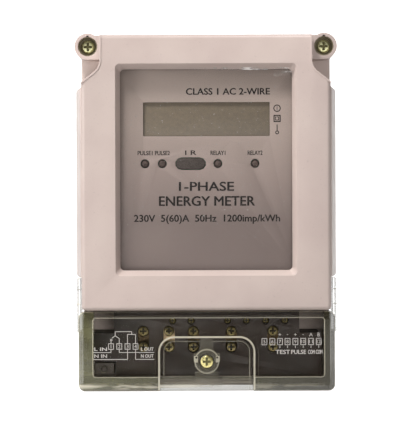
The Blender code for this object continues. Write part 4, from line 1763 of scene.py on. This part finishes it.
    def print_auxiliaries(self, ink: Printing) -> None:
        """Prints the numbers, signs and uses of terminals 5 to 12.

        Args:
            ink: the cover's printing.
        """
        boxes = (25.85, 29.4, 32.8, 36.2, 39.7, 43.2, 46.7, 50.2)
        for number, x in enumerate(boxes, start=5):
            ink.outline(x, -57.85, 2.5, 3.1, self.ink_line)
            ink.text(str(number), x, -57.85, 1.6, 1.6 if number > 9 else None)
        for sign, x in zip("+-+-AB", boxes[2:]):
            ink.text(sign, x, -54.7, 1.7)
            self.upright(ink, x, 19.3, 20.4)
        uses = (("TEST", 34.0, 6.4), ("PULSE", 41.1, 6.6), ("COM", 46.8, 2.9), ("COM", 50.3, 2.9))
        for words, x, width in uses:
            ink.text(words, x, -62.5, 1.8, width, 0.1)

    def print_diagram(self) -> None:
        """Prints the wiring diagram on the cover's face."""
        ink = Printing(self.plan.face - 0.05)
        self.print_mains(ink)
        self.print_auxiliaries(ink)
        self.fitter.fit(ink.done("cover_printing"), "terminal_cover", "ink_white", Slot.SMOKED)

    def build(self) -> None:
        """Builds the terminal cover."""
        cover = self.make_walls()
        self.add_boss(cover)
        self.add_fittings(cover)
        Bench.soften(cover, 0.42, 3)
        self.fitter.fit(cover, "terminal_cover", "cover_clear", Slot.SMOKED, "terminal_cover")
        self.print_diagram()
        node = "cover_screw_washer"
        washer = Bench.recast(node, "captive_washer", 0.1, 2)
        self.fitter.fit(washer, node, "steel_plated", Slot.STEEL, node)
        head = Span.of("cover_screw")
        x, _, z = head.centre
        screw = Screw("cover_screw_turned", 2.9, 2.0, 1.6, 8.6).make((x, head.low[1] + 2.0, z))
        self.fitter.fit(screw, "cover_screw", "zinc_shaded", Slot.BRASS, "cover_screw", inner="recess_shade_olive")


@dataclass
class Works:
    """The board and the parts it carries inside the case."""

    fitter: Fitter
    finishes_of: dict[str, tuple[str, Slot]] = field(
        default_factory=lambda: {
            "main_board": ("board_green", Slot.BOARD),
            "power_transformer": ("steel_plated", Slot.STEEL),
            "relay_1": ("relay_black", Slot.RELAY),
            "relay_2": ("relay_black", Slot.RELAY),
            "backup_battery": ("cell_sleeve", Slot.SLEEVE),
            "filter_capacitor": ("relay_black", Slot.RELAY),
            "current_shunt": ("copper_rolled", Slot.COPPER),
        }
    )

    def build(self) -> None:
        """Finishes each part from its CAD shape."""
        for node, (finish, slot) in self.finishes_of.items():
            piece = Bench.recast(node, f"{node}_finished", 0.3, 2)
            self.fitter.fit(piece, "root", finish, slot, node)


# --------------------------------------------------------------------------------------------- studio


@dataclass(frozen=True)
class SoftLight:
    """A square light that faces the meter: its place and side in metres, and its power in watts."""

    name: str
    place: Place
    side: float
    power: float
    mirrored: bool = True

    def hang(self) -> None:
        """Adds the light."""
        Bench.clear()
        bpy.ops.object.light_add(type="AREA", location=self.place)
        light = bpy.context.active_object
        light.name = self.name
        light.data.size = self.side
        light.data.energy = self.power
        light.visible_glossy = self.mirrored
        light.rotation_euler = (-Vector(self.place)).to_track_quat("-Z", "Y").to_euler()


@dataclass
class Studio:
    """The pale sweep, the soft lights and the camera."""

    distance: float = 1.158
    lens: float = 216.6
    aim: tuple[float, float] = (-0.8, 0.1)
    roll: float = 0.2
    floor_glow: float = 1.0
    air_glow: float = 0.24
    lights: tuple[SoftLight, ...] = (
        SoftLight("key_light", (-0.27, -0.41, 0.75), 0.14, 7.3),
        SoftLight("side_light", (-0.38, -0.28, 0.05), 0.12, 0.8),
        SoftLight("fill_light", (0.15, -1.3, 0.05), 0.3, 4.6, mirrored=False),
    )

    def sweep(self) -> None:
        """Adds a floor that curves up into a backdrop."""
        Bench.clear()
        bpy.ops.mesh.primitive_plane_add(size=1.0)
        floor = Bench.settle("studio_sweep")
        Bench.pick(floor, "EDGE", lambda edge: all(vert.co.y > 0 for vert in edge.verts))
        bpy.ops.mesh.extrude_region_move(TRANSFORM_OT_translate={"value": (0, 0, 1.0)})
        bpy.ops.object.mode_set(mode="OBJECT")
        Bench.round_edges(floor, lambda edge: len(edge.link_faces) == 2, 300.0, 16)
        floor.scale = (8.0, 6.0, 3.0)
        floor.location = (0, -1.2, -0.0804)
        Bench.take(floor)
        bpy.ops.object.transform_apply(location=True, rotation=True, scale=True)
        Bench.smooth(floor, 60.0)
        recipe = Recipe("studio_white")
        clouds = recipe.spread(recipe.noise(300.0), 0.0, 1.0)
        recipe.give(Base_Color=recipe.mix(clouds, (0.97,) * 3, (0.95,) * 3), Roughness=0.9)
        recipe.give(Emission_Color=(1.0, 1.0, 0.99), Emission_Strength=self.floor_glow)
        floor.data.materials.append(recipe.material)
        floor.visible_diffuse = False

    def fill_air(self) -> None:
        """Gives the air round the meter an even pale light."""
        world = bpy.data.worlds.new("studio_air")
        world.use_nodes = True
        background = world.node_tree.nodes["Background"]
        background.inputs["Color"].default_value = (1.0, 0.99, 0.98, 1.0)
        background.inputs["Strength"].default_value = self.air_glow
        bpy.context.scene.world = world

    def stand_camera(self) -> None:
        """Stands the camera square in front of the meter."""
        Bench.clear()
        place = (self.aim[0] * MM, -self.distance, self.aim[1] * MM)
        bpy.ops.object.camera_add(location=place, rotation=(math.pi / 2, math.radians(self.roll), 0))
        camera = bpy.context.active_object
        camera.name = "studio_camera"
        camera.data.lens = self.lens
        camera.data.sensor_fit = "HORIZONTAL"
        camera.data.clip_start = 0.01
        camera.data.dof.use_dof = False
        bpy.context.scene.camera = camera

    def build(self) -> None:
        """Sets the studio up."""
        self.sweep()
        self.fill_air()
        bpy.context.scene.view_settings.view_transform = "Standard"
        for light in self.lights:
            light.hang()
        self.stand_camera()


def main() -> None:
    """Builds the meter in order."""
    logging.basicConfig(level=logging.INFO, format="%(name)s: %(message)s")
    fitter = Fitter(Finishes())
    for assembly in (Case(fitter), Face(fitter), Terminals(fitter), TerminalCover(fitter), Works(fitter)):
        assembly.build()
        log.info("%s is done", type(assembly).__name__)
    Studio().build()
    Bench.clear()
    log.info("%d pieces fitted", fitter.count)


if __name__ == "__main__":
    main()
